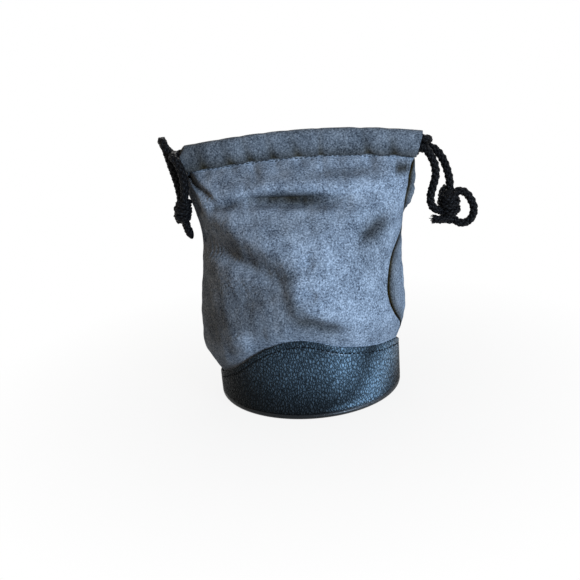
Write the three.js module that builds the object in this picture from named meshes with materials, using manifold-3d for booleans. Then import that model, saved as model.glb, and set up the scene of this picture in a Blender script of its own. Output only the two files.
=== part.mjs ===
// Drawstring lens pouch: a soft cloth tube on a stiff round base with a leather band.
// Millimetres, +Z up. The origin is the centre of the underside, -Y is the front.

import * as THREE from 'three';
import { mergeVertices } from 'three/addons/utils/BufferGeometryUtils.js';
import Module from 'manifold-3d';

const wasm = await Module();
wasm.setup();

// Gap between pieces that touch on the real pouch
const CLEARANCE = 0.3;

// Base: outside size, layers of the floor and of the cup wall
const BASE_DIAMETER = 100;
const WELT_DIAMETER = 3;
const BOTTOM_THICKNESS = 1.5;
const BOARD_THICKNESS = 2;
const PAD_THICKNESS = 4;
const LINING_THICKNESS = 0.8;
const BAND_THICKNESS = 1.4;
const STIFFENER_THICKNESS = 1.2;
const STIFFENER_HEIGHT = 24;

// Top edge of the leather band: degrees from the front, positive to the right, and height
const BAND_EDGE = [
  [-140, 23], [-95, 12], [-56, 22.7], [-23, 40.3], [-5, 44],
  [20, 38], [45, 33.2], [70, 28.9], [100, 20.8], [140, 22], [180, 29],
];

// Cloth body: width, depth, sideways lean and level of its sections
const CLOTH_THICKNESS = 1.2;
const BODY_WIDTH = 110.5;
const BODY_DEPTH = 109;
const BODY_LEAN = -1.4;
const BODY_LEVEL = 45;
const WAIST_WIDTH = 106.4;
const WAIST_DEPTH = 86;
const WAIST_LEAN = 1;
const WAIST_LEVEL = 93;
const CREASE_WIDTH = 117;
const CREASE_DEPTH = 52;
const CREASE_LEAN = 1.8;
const CREASE_LEVEL = 110;
const TUCK_HEIGHT = 20;         // over which the cloth swells out above the band
const SEAM_SWAY = 37;           // degrees by which the right seam swings to the front
const SEAM_SWAY_END = 0.86;     // share of the panel's height where the swing has ended

// Main folds of the front panel: start and end of each as x and level, its height out of the cloth,
// and its reach to the left and to the right as one goes along it
const FRONT_FOLDS = {
  valley: { start: [-46, 85], end: [-11, 77], height: -2.3, left: 8, right: 7 },
  valleyFloor: { start: [-23, 79.5], end: [-12, 77], height: -2.6, left: 8, right: 6.5 },
  valleySide: { start: [-48, 86.5], end: [-44, 86], height: -2, left: 7, right: 7 },
  rollAboveValley: { start: [-40, 102], end: [-9, 88], height: 2.2, left: 8, right: 7 },
  leftFlat: { start: [-30, 67], end: [-27, 60], height: -3.4, left: 12, right: 12 },
  ridge: { start: [-4.5, 77], end: [-0.5, 57], height: 2.8, left: 14, right: 7 },
  turnUnder: { start: [1, 59], end: [19, 52], height: 2, left: 9, right: 7 },
  dimple: { start: [40, 94], end: [45, 97], height: -5, left: 6.5, right: 6.5 },
  rollAboveDimple: { start: [27, 97], end: [36, 101], height: 2.2, left: 7, right: 6.5 },
};
const FOLD_FADE = 7;            // over which the folds fade out towards the seams, the band and the neck

// Flat mouth with its hem, which is folded over the two cords
const POUCH_HEIGHT = 140;
const MOUTH_WIDTH = 124;
const MOUTH_LEAN = 3;
const MOUTH_GAP = 1;
const HEM_SAG = 5;              // by which the ends of the hem hang below its middle
const HEM_CROWN = 1.5;          // cloth above the cord channel
const STITCH_MARGIN = 2.3;      // flat sewn strip below the cord channel
const NECK_FLATNESS = 0.35;     // 1 is an ellipse, 0 a flat strip
const FRONT_NECK = { drop: 0, leanness: 1 };
const BACK_NECK = { drop: 1.8, leanness: 0.6 }; // its hem hangs lower, and the cloth below it is fuller

// Cords and knots
const CORD_DIAMETER = 4.2;
const TURN_LEAD = 0.5;          // straight cord between the hem and a turn
const TURN_REACH = 3.4;         // by which a cord's turn stands out beyond that
const LEFT_KNOT = { width: 9.4, height: 14, wraps: 3, tilt: 7 };
const RIGHT_KNOT = { width: 11.6, height: 16.8, wraps: 4, tilt: -6 };
const KNOT_SLANT = 22;          // degrees between a knot's wraps and its waist
const KNOT_CORE = 0.82;         // width of a knot's core, as a share of the knot's width

// Facets
const ROUND_SIDES = 56;
const WELT_SIDES = 7;
const FRONT_COLUMNS = 48;
const BACK_COLUMNS = 24;
const PANEL_ROWS = 28;
const CUP_ROWS = 7;             // those of the panel's rows that lie behind the band
const NECK_COLUMNS = 24;
const NECK_ROWS = 6;
const BAND_ROWS = 4;
const CORD_SIDES = 8;
const CORD_STEP = 0.7;          // of a cord's thickness
const TURN_STEPS = 8;
const HEM_STEPS = 12;
const FOLD_SIDES = 8;
const WRAP_SIDES = 6;
const WRAP_STEPS = 14;
const MERGE_DISTANCE = 1e-4;    // within which corners of a mesh are one

// Sizes that follow from the ones above
const baseRadius = BASE_DIAMETER / 2;
const bandInside = baseRadius - BAND_THICKNESS;
const cupRadius = bandInside - CLEARANCE;
const stiffenerOutside = cupRadius - CLOTH_THICKNESS - CLEARANCE;
const stiffenerInside = stiffenerOutside - STIFFENER_THICKNESS;
const padRadius = stiffenerInside - CLEARANCE;
const weltRadius = WELT_DIAMETER / 2;
const weltLevel = weltRadius + CLEARANCE;
const floorRadius = baseRadius - WELT_DIAMETER - CLEARANCE;
const wallBottom = weltLevel + weltRadius + CLEARANCE;
const boardBottom = BOTTOM_THICKNESS + CLEARANCE;
const boardTop = boardBottom + BOARD_THICKNESS;
const padBottom = boardTop + CLEARANCE;
const liningBottom = padBottom + PAD_THICKNESS + CLEARANCE;
const cordRadius = CORD_DIAMETER / 2;
const channelWidth = CORD_DIAMETER + 2 * CLEARANCE;
const channelHeight = 2 * CORD_DIAMETER + 3 * CLEARANCE;
const hemThickness = channelWidth + 2 * CLOTH_THICKNESS;
const hemMiddle = MOUTH_GAP / 2 + hemThickness / 2;
const hemHeight = HEM_CROWN + channelHeight + STITCH_MARGIN;
const hemSlope = 4 * HEM_SAG / MOUTH_WIDTH; // at the ends of the hem, which are cut square to it
const upperCord = HEM_CROWN + CLEARANCE + cordRadius;
const lowerCord = upperCord + CORD_DIAMETER + CLEARANCE;

// Finishes
const CLOTH = { color: 0x66788f, roughness: 0.95 };
const LEATHER = { color: 0x1c2126, roughness: 0.5 };
const CORD = { color: 0x0b0b0d, roughness: 0.7 };
const BOARD = { color: 0x6b6257, roughness: 0.9 };
const FOAM = { color: 0x3a3c40, roughness: 1 };
const LINING = { color: 0x40454d, roughness: 1 };

const pouch = new THREE.Group();

// Adds one piece of the pouch
function addPiece(name, geometry, finish) {
  const material = new THREE.MeshStandardMaterial({ ...finish, metalness: 0 });
  const mesh = new THREE.Mesh(geometry, material);
  mesh.name = name;
  pouch.add(mesh);
}

// Turns a closed mesh into a solid that can be joined and cut
function toSolid(geometry) {
  const bare = geometry.clone();
  bare.deleteAttribute('normal');
  bare.deleteAttribute('uv');
  const merged = mergeVertices(bare, MERGE_DISTANCE);
  return new wasm.Manifold(new wasm.Mesh({
    numProp: 3,
    vertProperties: new Float32Array(merged.attributes.position.array),
    triVerts: new Uint32Array(merged.index.array),
  }));
}

function toGeometry(solid) {
  const mesh = solid.getMesh();
  const geometry = new THREE.BufferGeometry();
  geometry.setAttribute('position', new THREE.BufferAttribute(mesh.vertProperties, 3));
  geometry.setIndex(new THREE.BufferAttribute(mesh.triVerts, 1));
  geometry.computeVertexNormals();
  return geometry;
}

// Reflects a piece of the front to the back
function mirrorToBack(geometry) {
  const copy = geometry.clone().scale(1, -1, 1);
  const corners = copy.index.array;
  for (let i = 0; i < corners.length; i += 3) {
    [corners[i], corners[i + 1]] = [corners[i + 1], corners[i]];
  }
  copy.computeVertexNormals();
  return copy;
}

// Closed wall between an outside (layer 0) and an inside (layer 1) surface.
// point(across, up, layer) gives a place on it; a ring joins its last column to its first.
function wall(point, columns, rows, ring) {
  const width = ring ? columns : columns + 1;
  const positions = [];
  for (let layer = 0; layer < 2; layer += 1) {
    for (let row = 0; row <= rows; row += 1) {
      for (let column = 0; column < width; column += 1) {
        positions.push(...point(column / columns, row / rows, layer).toArray());
      }
    }
  }
  const at = (layer, row, column) => (layer * (rows + 1) + row) * width + (column % width);
  const index = [];
  const quad = (a, b, c, d) => index.push(a, b, c, a, c, d);
  for (let c = 0; c < columns; c += 1) {
    for (let r = 0; r < rows; r += 1) {
      quad(at(0, r, c), at(0, r, c + 1), at(0, r + 1, c + 1), at(0, r + 1, c));
      quad(at(1, r, c + 1), at(1, r, c), at(1, r + 1, c), at(1, r + 1, c + 1));
    }
    quad(at(1, 0, c), at(1, 0, c + 1), at(0, 0, c + 1), at(0, 0, c));
    quad(at(0, rows, c), at(0, rows, c + 1), at(1, rows, c + 1), at(1, rows, c));
  }
  for (let r = 0; r < rows && !ring; r += 1) {
    quad(at(1, r, 0), at(0, r, 0), at(0, r + 1, 0), at(1, r + 1, 0));
    quad(at(0, r, columns), at(1, r, columns), at(1, r + 1, columns), at(0, r + 1, columns));
  }
  const geometry = new THREE.BufferGeometry();
  geometry.setAttribute('position', new THREE.Float32BufferAttribute(positions, 3));
  geometry.setIndex(index);
  geometry.computeVertexNormals();
  return geometry;
}

// Piece turned about the pouch's axis, from a profile of radius and level
function turned(profile) {
  const points = profile.map(([radius, level]) => new THREE.Vector2(radius, level));
  return new THREE.LatheGeometry(points, ROUND_SIDES).rotateX(Math.PI / 2);
}

function disc(radius, bottom, thickness) {
  return turned([[0, bottom], [radius, bottom], [radius, bottom + thickness], [0, bottom + thickness]]);
}

// Carries a flat profile along a path
function sweep(shape, path, steps, sidesOfRound) {
  return new THREE.ExtrudeGeometry(shape, {
    steps,
    curveSegments: sidesOfRound / 2,
    bevelEnabled: false,
    extrudePath: path,
  });
}

// Smooth curve through rows of numbers: the first is the place, the others are the values there
function smoothThrough(rows) {
  const places = rows.map((row) => row[0]);
  const values = rows.flatMap((row) => row.slice(1));
  return new THREE.CubicInterpolant(places, values, rows[0].length - 1);
}

const bandEdgeCurve = smoothThrough(
  [-360, 0, 360].flatMap((turn) => BAND_EDGE.map(([angle, height]) => [angle + turn, height])),
);

function bandEdge(azimuth) {
  return bandEdgeCurve.evaluate(THREE.MathUtils.radToDeg(azimuth))[0];
}

const sections = smoothThrough([
  [0, BODY_WIDTH, BODY_DEPTH, BODY_LEAN],
  [BODY_LEVEL, BODY_WIDTH, BODY_DEPTH, BODY_LEAN],
  [WAIST_LEVEL, WAIST_WIDTH, WAIST_DEPTH, WAIST_LEAN],
  [CREASE_LEVEL, CREASE_WIDTH, CREASE_DEPTH, CREASE_LEAN],
]);

// Floor of the base, from the underside up, and the wall that keeps the cup round
function addBase() {
  addPiece('bottom_panel', disc(floorRadius, 0, BOTTOM_THICKNESS), LEATHER);
  const welt = new THREE.TorusGeometry(baseRadius - weltRadius, weltRadius, WELT_SIDES, ROUND_SIDES);
  addPiece('bottom_welt', welt.translate(0, 0, weltLevel), LEATHER);
  addPiece('base_board', disc(floorRadius, boardBottom, BOARD_THICKNESS), BOARD);
  addPiece('base_pad', disc(padRadius, padBottom, PAD_THICKNESS), FOAM);
  addPiece('base_lining', disc(padRadius, liningBottom, LINING_THICKNESS), LINING);
  const stiffenerTop = padBottom + STIFFENER_HEIGHT;
  const stiffener = turned([
    [stiffenerInside, padBottom], [stiffenerOutside, padBottom],
    [stiffenerOutside, stiffenerTop], [stiffenerInside, stiffenerTop], [stiffenerInside, padBottom],
  ]);
  addPiece('cup_stiffener', stiffener, BOARD);
}

// Leather band round the cup, with its waved top edge
function addBand() {
  const point = (across, up, layer) => {
    const azimuth = (across * 2 - 1) * Math.PI;
    const radius = layer ? bandInside : baseRadius;
    const level = THREE.MathUtils.lerp(wallBottom, bandEdge(azimuth), up);
    return new THREE.Vector3(radius * Math.sin(azimuth), -radius * Math.cos(azimuth), level);
  };
  addPiece('leather_band', wall(point, ROUND_SIDES, BAND_ROWS, true), LEATHER);
}

// Place on the cloth of the body: inside the band it is round, above it the cloth swells out
function clothPoint(azimuth, level, inset) {
  const [width, depth, lean] = sections.evaluate(level);
  const above = THREE.MathUtils.clamp((level - bandEdge(azimuth)) / TUCK_HEIGHT, 0, 1);
  const swell = Math.sin(above * Math.PI / 2);
  const halfWidth = THREE.MathUtils.lerp(cupRadius, width / 2, swell) - inset;
  const halfDepth = THREE.MathUtils.lerp(cupRadius, depth / 2, swell) - inset;
  const x = lean * swell + halfWidth * Math.sin(azimuth);
  return new THREE.Vector3(x, -halfDepth * Math.cos(azimuth), level);
}

// How far the front panel's folds lift the cloth at a place, seen from the front
function foldLift(x, level) {
  const place = new THREE.Vector3(x, level, 0);
  const nearest = new THREE.Vector3();
  let lift = 0;
  for (const { start, end, height, left, right } of Object.values(FRONT_FOLDS)) {
    const line = new THREE.Line3(new THREE.Vector3(...start, 0), new THREE.Vector3(...end, 0));
    line.closestPointToPoint(place, true, nearest);
    const way = line.delta(new THREE.Vector3()).normalize();
    const away = place.clone().sub(nearest);
    const distance = away.length();
    const leftShare = (way.cross(away.normalize()).z + 1) / 2;
    const share = distance / THREE.MathUtils.lerp(right, left, leftShare);
    lift += height * Math.exp(-share * share);
  }
  return lift;
}

// Front and back panels, sewn together at the sides, from the floor up to the crease of the neck
function addPanels() {
  const cupShare = CUP_ROWS / PANEL_ROWS;
  const swayAt = (up) => {
    const share = THREE.MathUtils.clamp((up - cupShare) / (SEAM_SWAY_END - cupShare), 0, 1);
    return THREE.MathUtils.degToRad(SEAM_SWAY) * Math.sin(share * Math.PI);
  };
  const seamHalf = CLEARANCE / BODY_WIDTH; // half the gap at a seam, as an angle
  const leftSeam = -Math.PI / 2;
  const levelAt = (azimuth, up) => {
    const edge = bandEdge(azimuth);
    if (up <= cupShare) {
      return THREE.MathUtils.lerp(wallBottom, edge, up / cupShare);
    }
    return THREE.MathUtils.lerp(edge, CREASE_LEVEL - CLEARANCE / 2, (up - cupShare) / (1 - cupShare));
  };
  const ease = (distance) => THREE.MathUtils.smoothstep(distance, 0, FOLD_FADE);
  const plain = () => 0;
  const folded = (azimuth, level, seamDistance) => {
    const free = ease(level - bandEdge(azimuth)) * ease(CREASE_LEVEL - level) * ease(seamDistance);
    return free * foldLift(clothPoint(azimuth, level, 0).x, level);
  };
  const panel = (limits, liftAt) => (across, up, layer) => {
    const [start, end] = limits(Math.PI / 2 - swayAt(up));
    const azimuth = THREE.MathUtils.lerp(start + seamHalf, end - seamHalf, across);
    const level = levelAt(azimuth, up);
    const seamDistance = Math.min(across, 1 - across) * (end - start) * baseRadius;
    return clothPoint(azimuth, level, layer * CLOTH_THICKNESS - liftAt(azimuth, level, seamDistance));
  };
  const front = panel((rightSeam) => [leftSeam, rightSeam], folded);
  const back = panel((rightSeam) => [rightSeam, leftSeam + 2 * Math.PI], plain);
  addPiece('front_panel', wall(front, FRONT_COLUMNS, PANEL_ROWS, false), CLOTH);
  addPiece('back_panel', wall(back, BACK_COLUMNS, PANEL_ROWS, false), CLOTH);
}

// Crown of a hem that hangs by some drop: a flat arch from end to end, trimmed at both ends
class HemCrown extends THREE.Curve {
  constructor(trim, drop) {
    super();
    this.half = MOUTH_WIDTH / 2 - trim;
    this.drop = drop;
  }

  static level(x) {
    const share = (x - MOUTH_LEAN) / (MOUTH_WIDTH / 2);
    return POUCH_HEIGHT - HEM_SAG * share * share;
  }

  getPoint(t, target = new THREE.Vector3()) {
    const x = MOUTH_LEAN + (2 * t - 1) * this.half;
    return target.set(x, 0, HemCrown.level(x) - this.drop);
  }
}

// Carries a flat profile along the hem: its x is the way to the front, its y the way down
function alongHem(shape, trim, drop, sidesOfRound) {
  return sweep(shape, new HemCrown(trim, drop), HEM_STEPS, sidesOfRound);
}

// Section of the hem: cloth folded over the channel for the two cords
function hemSection() {
  const near = MOUTH_GAP / 2;
  const far = near + hemThickness;
  const foldRadius = hemThickness / 2;
  const shape = new THREE.Shape();
  shape.moveTo(near, hemHeight);
  shape.lineTo(near, foldRadius);
  shape.absarc(hemMiddle, foldRadius, foldRadius, Math.PI, 2 * Math.PI, false);
  shape.lineTo(far, hemHeight);
  shape.closePath();
  const channel = new THREE.Path();
  const endRadius = channelWidth / 2;
  channel.absarc(hemMiddle, HEM_CROWN + endRadius, endRadius, Math.PI, 2 * Math.PI, false);
  channel.absarc(hemMiddle, HEM_CROWN + channelHeight - endRadius, endRadius, 0, Math.PI, false);
  shape.holes.push(channel);
  return shape;
}

// Upper wall, made as at the front: an oval at the crease that closes to a flat strip.
// Its last row is sewn into the hem.
function neckGeometry({ drop, leanness }) {
  const lap = STITCH_MARGIN / 2;
  const hemFace = MOUTH_GAP / 2 + hemThickness - CLEARANCE;
  const topWidth = MOUTH_WIDTH - 2 * CLEARANCE - 2 * hemHeight * hemSlope;
  const point = (across, up, layer) => {
    const azimuth = (across - 0.5) * Math.PI;
    const inset = layer * CLOTH_THICKNESS;
    const rise = Math.min(up * NECK_ROWS / (NECK_ROWS - 1), 1);
    const halfWidth = THREE.MathUtils.lerp(CREASE_WIDTH, topWidth, rise) / 2 - inset;
    const fullness = Math.max(Math.cos(rise * Math.PI / 2), 0) ** leanness;
    const depth = THREE.MathUtils.lerp(hemFace, CREASE_DEPTH / 2, fullness) - inset;
    const round = Math.max(Math.cos(azimuth), 0) ** THREE.MathUtils.lerp(1, NECK_FLATNESS, rise);
    const x = THREE.MathUtils.lerp(CREASE_LEAN, MOUTH_LEAN, rise) + halfWidth * Math.sin(azimuth);
    const y = -THREE.MathUtils.lerp(CLEARANCE / 2, depth, round);
    const hemFoot = HemCrown.level(x) - drop - hemHeight;
    const top = up < 1 ? hemFoot - lap / 2 : hemFoot + lap;
    return new THREE.Vector3(x, y, THREE.MathUtils.lerp(CREASE_LEVEL + CLEARANCE / 2, top, rise));
  };
  const cloth = toSolid(wall(point, NECK_COLUMNS, NECK_ROWS, false));
  return toGeometry(cloth.add(toSolid(alongHem(hemSection(), 0, drop, FOLD_SIDES))));
}

// Where a cord at some depth below the front crown leaves the hem, and the way it leaves
function hemExit(side, depth) {
  const steep = Math.hypot(1, hemSlope);
  const x = MOUTH_LEAN + side * (MOUTH_WIDTH / 2 - depth * hemSlope / steep);
  const place = new THREE.Vector3(x, 0, POUCH_HEIGHT - HEM_SAG - depth / steep);
  const way = new THREE.Vector3(side, 0, -hemSlope).divideScalar(steep);
  return { place, way };
}

// Front and back of the neck, with the stretches of cord inside their hems
function addNeck() {
  addPiece('front_neck', neckGeometry(FRONT_NECK), CLOTH);
  addPiece('back_neck', mirrorToBack(neckGeometry(BACK_NECK)), CLOTH);
  for (const [name, depth] of [['left_cord', upperCord], ['right_cord', lowerCord]]) {
    const section = new THREE.Shape().absarc(hemMiddle, depth, cordRadius, 0, 2 * Math.PI, false);
    const run = ({ drop }) => toGeometry(toSolid(alongHem(section, CLEARANCE / 2, drop, CORD_SIDES)));
    addPiece(`${name}_front_run`, run(FRONT_NECK), CORD);
    addPiece(`${name}_back_run`, mirrorToBack(run(BACK_NECK)), CORD);
  }
}

// Round cord through some places
function cordThrough(places) {
  const path = new THREE.CatmullRomCurve3(places, false, 'centripetal');
  const steps = Math.round(path.getLength() / (CORD_DIAMETER * CORD_STEP));
  const section = new THREE.Shape().absarc(0, 0, cordRadius, 0, 2 * Math.PI, false);
  return toGeometry(toSolid(sweep(section, path, steps, CORD_SIDES)));
}

// Knot: slanted wraps of cord round a core, swollen by some clearance when it cuts other cords
function knotSolid(knot, place, swell) {
  const radius = knot.width / 2;
  const coreRadius = radius * KNOT_CORE + swell;
  const core = new THREE.SphereGeometry(1, WRAP_STEPS, WRAP_SIDES)
    .rotateX(Math.PI / 2)
    .scale(coreRadius, coreRadius, knot.height / 2 + swell);
  let solid = toSolid(core);
  const spacing = (knot.height - CORD_DIAMETER) / knot.wraps;
  for (let i = 0; i < knot.wraps; i += 1) {
    const slant = THREE.MathUtils.degToRad(i % 2 ? -KNOT_SLANT : KNOT_SLANT);
    const wrap = new THREE.TorusGeometry(radius - cordRadius, cordRadius + swell, WRAP_SIDES, WRAP_STEPS)
      .rotateY(slant)
      .translate(0, 0, (i - (knot.wraps - 1) / 2) * spacing);
    solid = solid.add(toSolid(wrap));
  }
  const tilt = THREE.MathUtils.degToRad(knot.tilt);
  return toSolid(toGeometry(solid).rotateY(tilt).translate(...place.toArray()));
}

// Adds one side's knot and what is tied in it; the ends run into the knot and stop at its surface
function addTiedCords(name, knot, place, cords) {
  addPiece(`${name}_knot`, toGeometry(knotSolid(knot, place, 0)), CORD);
  const cutter = knotSolid(knot, place, CLEARANCE);
  for (const [part, geometry] of Object.entries(cords)) {
    addPiece(`${name}_${part}`, toGeometry(toSolid(geometry).subtract(cutter)), CORD);
  }
}

// Places along a cord, given from some point
function from(point, offsets) {
  return offsets.map((offset) => point.clone().add(new THREE.Vector3(...offset)));
}

// Place of a cord as it leaves the hem at some y: at the back it comes out lower
function exitAt(exit, y) {
  const share = (y / hemMiddle + 1) / 2;
  const drop = THREE.MathUtils.lerp(FRONT_NECK.drop, BACK_NECK.drop, share);
  return exit.place.clone().add(new THREE.Vector3(0, y, -drop));
}

// Free strand that leaves the hem squarely and then follows its own way
function strand(exit, face, offsets) {
  const start = exitAt(exit, face * hemMiddle);
  const lead = start.clone().addScaledVector(exit.way, CLEARANCE / 2);
  const straight = start.clone().addScaledVector(exit.way, cordRadius);
  return cordThrough([lead, straight, ...from(exit.place, offsets)]);
}

// Turn of a cord where it passes from the front hem to the back hem
function turnAround(exit) {
  const place = (reach, y) => exitAt(exit, y).addScaledVector(exit.way, CLEARANCE / 2 + reach);
  const arc = [];
  for (let i = 0; i <= TURN_STEPS; i += 1) {
    const angle = (i / TURN_STEPS - 0.5) * Math.PI;
    arc.push(place(TURN_LEAD + TURN_REACH * Math.cos(angle), hemMiddle * Math.sin(angle)));
  }
  return cordThrough([place(0, -hemMiddle), ...arc, place(0, hemMiddle)]);
}

// Both cords where they are out of the hem: the left one leaves it by the upper place in the channel
function addCords() {
  const leftExit = hemExit(-1, upperCord);
  const rightExit = hemExit(1, lowerCord);
  addPiece('left_cord_turn', turnAround(hemExit(1, upperCord)), CORD);
  addPiece('right_cord_turn', turnAround(hemExit(-1, lowerCord)), CORD);

  const leftKnot = from(leftExit.place, [[-2.2, -8.5, -26]])[0];
  addTiedCords('left_cord', LEFT_KNOT, leftKnot, {
    front_strand: strand(leftExit, -1, [
      [-2.8, -7.8, 0.5], [-2.2, -10.6, 0.2], [-0.5, -12, -2.4], [0.5, -12.1, -7],
      [0.5, -11.8, -12.5], [-0.4, -11, -17.5], [-1.8, -9, -24],
    ]),
    back_strand: strand(leftExit, 1, [
      [-4, 4.7, -1.2], [-7, 4.9, 2], [-8.9, 3.4, 6], [-8.6, 0.2, 8], [-7.5, -2.4, 5.6],
      [-6.6, -3.8, 1], [-5.9, -5, -4.6], [-4, -5.6, -11], [-2.8, -6.2, -17], [-2.4, -8, -24],
    ]),
    tail: cordThrough(from(leftKnot, [[0.4, 0, -4], [0.9, 0, -8], [2, 0, -11], [3.3, 0, -14]])),
  });

  const rightKnot = from(rightExit.place, [[14.4, -1, -30]])[0];
  addTiedCords('right_cord', RIGHT_KNOT, rightKnot, {
    front_strand: strand(rightExit, -1, [
      [5.7, -4.6, -5.6], [7.4, -4.7, -10.9], [7.3, -4.6, -15.9], [5.8, -4.5, -21.1],
      [4.7, -4.5, -26.1], [5.7, -4.2, -30.6], [9.2, -3.2, -33.2], [13.4, -1.4, -33.4],
    ]),
    back_strand: strand(rightExit, 1, [
      [5, 4.3, -2], [8.6, 4, -4], [11.9, 3.2, -8.1], [14.2, 2, -13.4], [15.4, 0.6, -18.9],
      [15.2, -0.6, -27],
    ]),
    loop: cordThrough(from(rightKnot, [
      [2, 0, 4.5], [5.5, 0.2, 6.3], [9.2, 0.3, 4.6], [12.1, 0.2, 0.1], [13.1, 0, -3.9],
      [11.6, -0.2, -8.6], [7.9, -0.3, -10.7], [3.7, -0.2, -9.6], [0.5, 0, -5],
    ])),
    tail: cordThrough(from(rightKnot, [[-0.5, -2.5, -6], [-3.8, -4.6, -8], [-8.4, -5.8, -9.6]])),
  });
}

addBase();
addBand();
addPanels();
addNeck();
addCords();

export default pouch;
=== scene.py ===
"""Looks of a drawstring lens pouch: soft cloth on a stiff round base, with knotted cords in its hem.

Sizes are millimetres in the pouch's own frame: +Z up, -Y the front, the origin under the base.
"""

import logging
import math
from dataclasses import dataclass
from enum import Enum
from typing import Optional, Sequence, Union

import bpy
import numpy as np
from mathutils import Matrix, Vector

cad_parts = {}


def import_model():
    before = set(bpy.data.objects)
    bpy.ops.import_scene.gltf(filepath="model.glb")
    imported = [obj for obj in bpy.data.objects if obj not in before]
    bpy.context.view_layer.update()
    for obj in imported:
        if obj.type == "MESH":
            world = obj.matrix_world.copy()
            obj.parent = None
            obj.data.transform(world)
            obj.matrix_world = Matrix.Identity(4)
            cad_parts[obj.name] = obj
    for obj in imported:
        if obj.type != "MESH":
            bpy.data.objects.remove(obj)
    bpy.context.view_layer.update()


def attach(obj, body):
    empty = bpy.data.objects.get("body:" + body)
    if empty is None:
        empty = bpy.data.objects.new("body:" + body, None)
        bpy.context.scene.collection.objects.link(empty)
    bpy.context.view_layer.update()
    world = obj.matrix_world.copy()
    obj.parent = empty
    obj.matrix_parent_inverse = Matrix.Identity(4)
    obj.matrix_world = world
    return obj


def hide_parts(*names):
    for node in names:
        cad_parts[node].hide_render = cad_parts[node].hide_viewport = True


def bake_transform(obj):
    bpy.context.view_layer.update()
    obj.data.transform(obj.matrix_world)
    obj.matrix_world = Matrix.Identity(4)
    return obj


LOG = logging.getLogger("lens_pouch")
MM = 0.001
TINY = 1e-9
ROUTE_SAMPLES = 60
RIM_STEPS = 6
FOLD_STEP = 1.5
FOLD_END = 0.25
IMAGE_SIZE = 580

Point = tuple[float, float, float]
Values = Union[float, np.ndarray]

# the cloth's attribute of painted shade: creases, seams, the hem and sides that face from the light are
# darkened in the nap's colour
PAINTED_SHADE_ATTRIBUTE = "painted_nap_shade"
# how much red, green and blue the painted shade takes from the nap's colour where it is full
PAINTED_SHADE_LOSS: Point = (1.04, 1.08, 1.13)
# a way that no tube starts along
CROSS_WAY: Point = (0.31, 0.9, 0.23)


class Side(Enum):
    """Halves of the cloth, with the way that each faces along Y."""

    FRONT = -1
    BACK = 1


class Hand(Enum):
    """Ends of the hem, with the way that each lies along X."""

    LEFT = -1
    RIGHT = 1


def smooth_step(share: Values) -> Values:
    """Eases a share from 0 to 1, and holds it outside."""
    share = np.clip(share, 0.0, 1.0)
    return share * share * (3.0 - 2.0 * share)


def mix(start: Values, end: Values, share: Values) -> Values:
    """Goes from start to end with a share."""
    return start + (end - start) * share


def curve_through(places: np.ndarray, values: np.ndarray, at: np.ndarray) -> np.ndarray:
    """Smooth curve whose slope at each place is the mean of the chords beside it.

    Args:
        places: Rising places of the known values.
        values: One row of values for each place.
        at: Places that are asked for.

    Returns:
        One row of values for each place in at.
    """
    chords = np.diff(values, axis=0) / np.diff(places)[:, None]
    slopes = np.concatenate([chords[:1], (chords[1:] + chords[:-1]) / 2.0, chords[-1:]])
    i = np.clip(np.searchsorted(places, at, side="right") - 1, 0, len(places) - 2)
    span = (places[i + 1] - places[i])[..., None]
    p = (at - places[i])[..., None] / span
    return (
        (2.0 * p**3 - 3.0 * p**2 + 1.0) * values[i]
        + (p**3 - 2.0 * p**2 + p) * span * slopes[i]
        + (3.0 * p**2 - 2.0 * p**3) * values[i + 1]
        + (p**3 - p**2) * span * slopes[i + 1]
    )


def route_through(points: Sequence[Sequence[float]], step: float) -> np.ndarray:
    """Evenly spaced places on a smooth curve through some points.

    Args:
        points: Points that the curve passes, in any number of dimensions.
        step: Distance between the places.

    Returns:
        One row for each place.
    """
    known = np.asarray(points, dtype=float)
    before = 2.0 * known[:1] - known[1:2]
    after = 2.0 * known[-1:] - known[-2:-1]
    padded = np.concatenate([before, known, after])
    knots = np.concatenate([[0.0], np.cumsum(np.linalg.norm(np.diff(padded, axis=0), axis=1) ** 0.5)])
    fine = np.linspace(knots[1], knots[-2], ROUTE_SAMPLES * len(known))
    curve = curve_through(knots, padded, fine)
    along = np.concatenate([[0.0], np.cumsum(np.linalg.norm(np.diff(curve, axis=0), axis=1))])
    count = max(2, int(round(along[-1] / step)) + 1)
    even = np.linspace(0.0, along[-1], count)
    return np.stack([np.interp(even, along, curve[:, i]) for i in range(known.shape[1])], axis=1)


def grid_normals(grid: np.ndarray) -> np.ndarray:
    """Unit normals of a grid of places.

    Args:
        grid: Places, with rows going up and columns going to the right.

    Returns:
        One normal for each place.
    """
    across = np.gradient(grid, axis=1)
    up = np.gradient(grid, axis=0)
    normal = np.cross(across, up)
    size = np.linalg.norm(normal, axis=2, keepdims=True)
    return normal / np.maximum(size, TINY)


def mesh_object(
    name: str,
    vertices: np.ndarray,
    faces: Sequence[Sequence[int]],
    material: bpy.types.Material,
    corner_normals: Optional[np.ndarray] = None,
) -> bpy.types.Object:
    """Makes a smooth-shaded mesh object at the origin.

    Args:
        name: Name of the object.
        vertices: Places in millimetres.
        faces: Corners of each face.
        material: Finish of the whole mesh.
        corner_normals: One normal for each corner of each face, where the shading is given.

    Returns:
        The new object, linked to the scene.
    """
    mesh = bpy.data.meshes.new(name)
    mesh.from_pydata((np.asarray(vertices) * MM).tolist(), [], [list(f) for f in faces])
    mesh.polygons.foreach_set("use_smooth", [True] * len(mesh.polygons))
    if corner_normals is not None:
        mesh.normals_split_custom_set(corner_normals.tolist())
    mesh.materials.append(material)
    mesh.update()
    piece = bpy.data.objects.new(name, mesh)
    bpy.context.scene.collection.objects.link(piece)
    return piece


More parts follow.
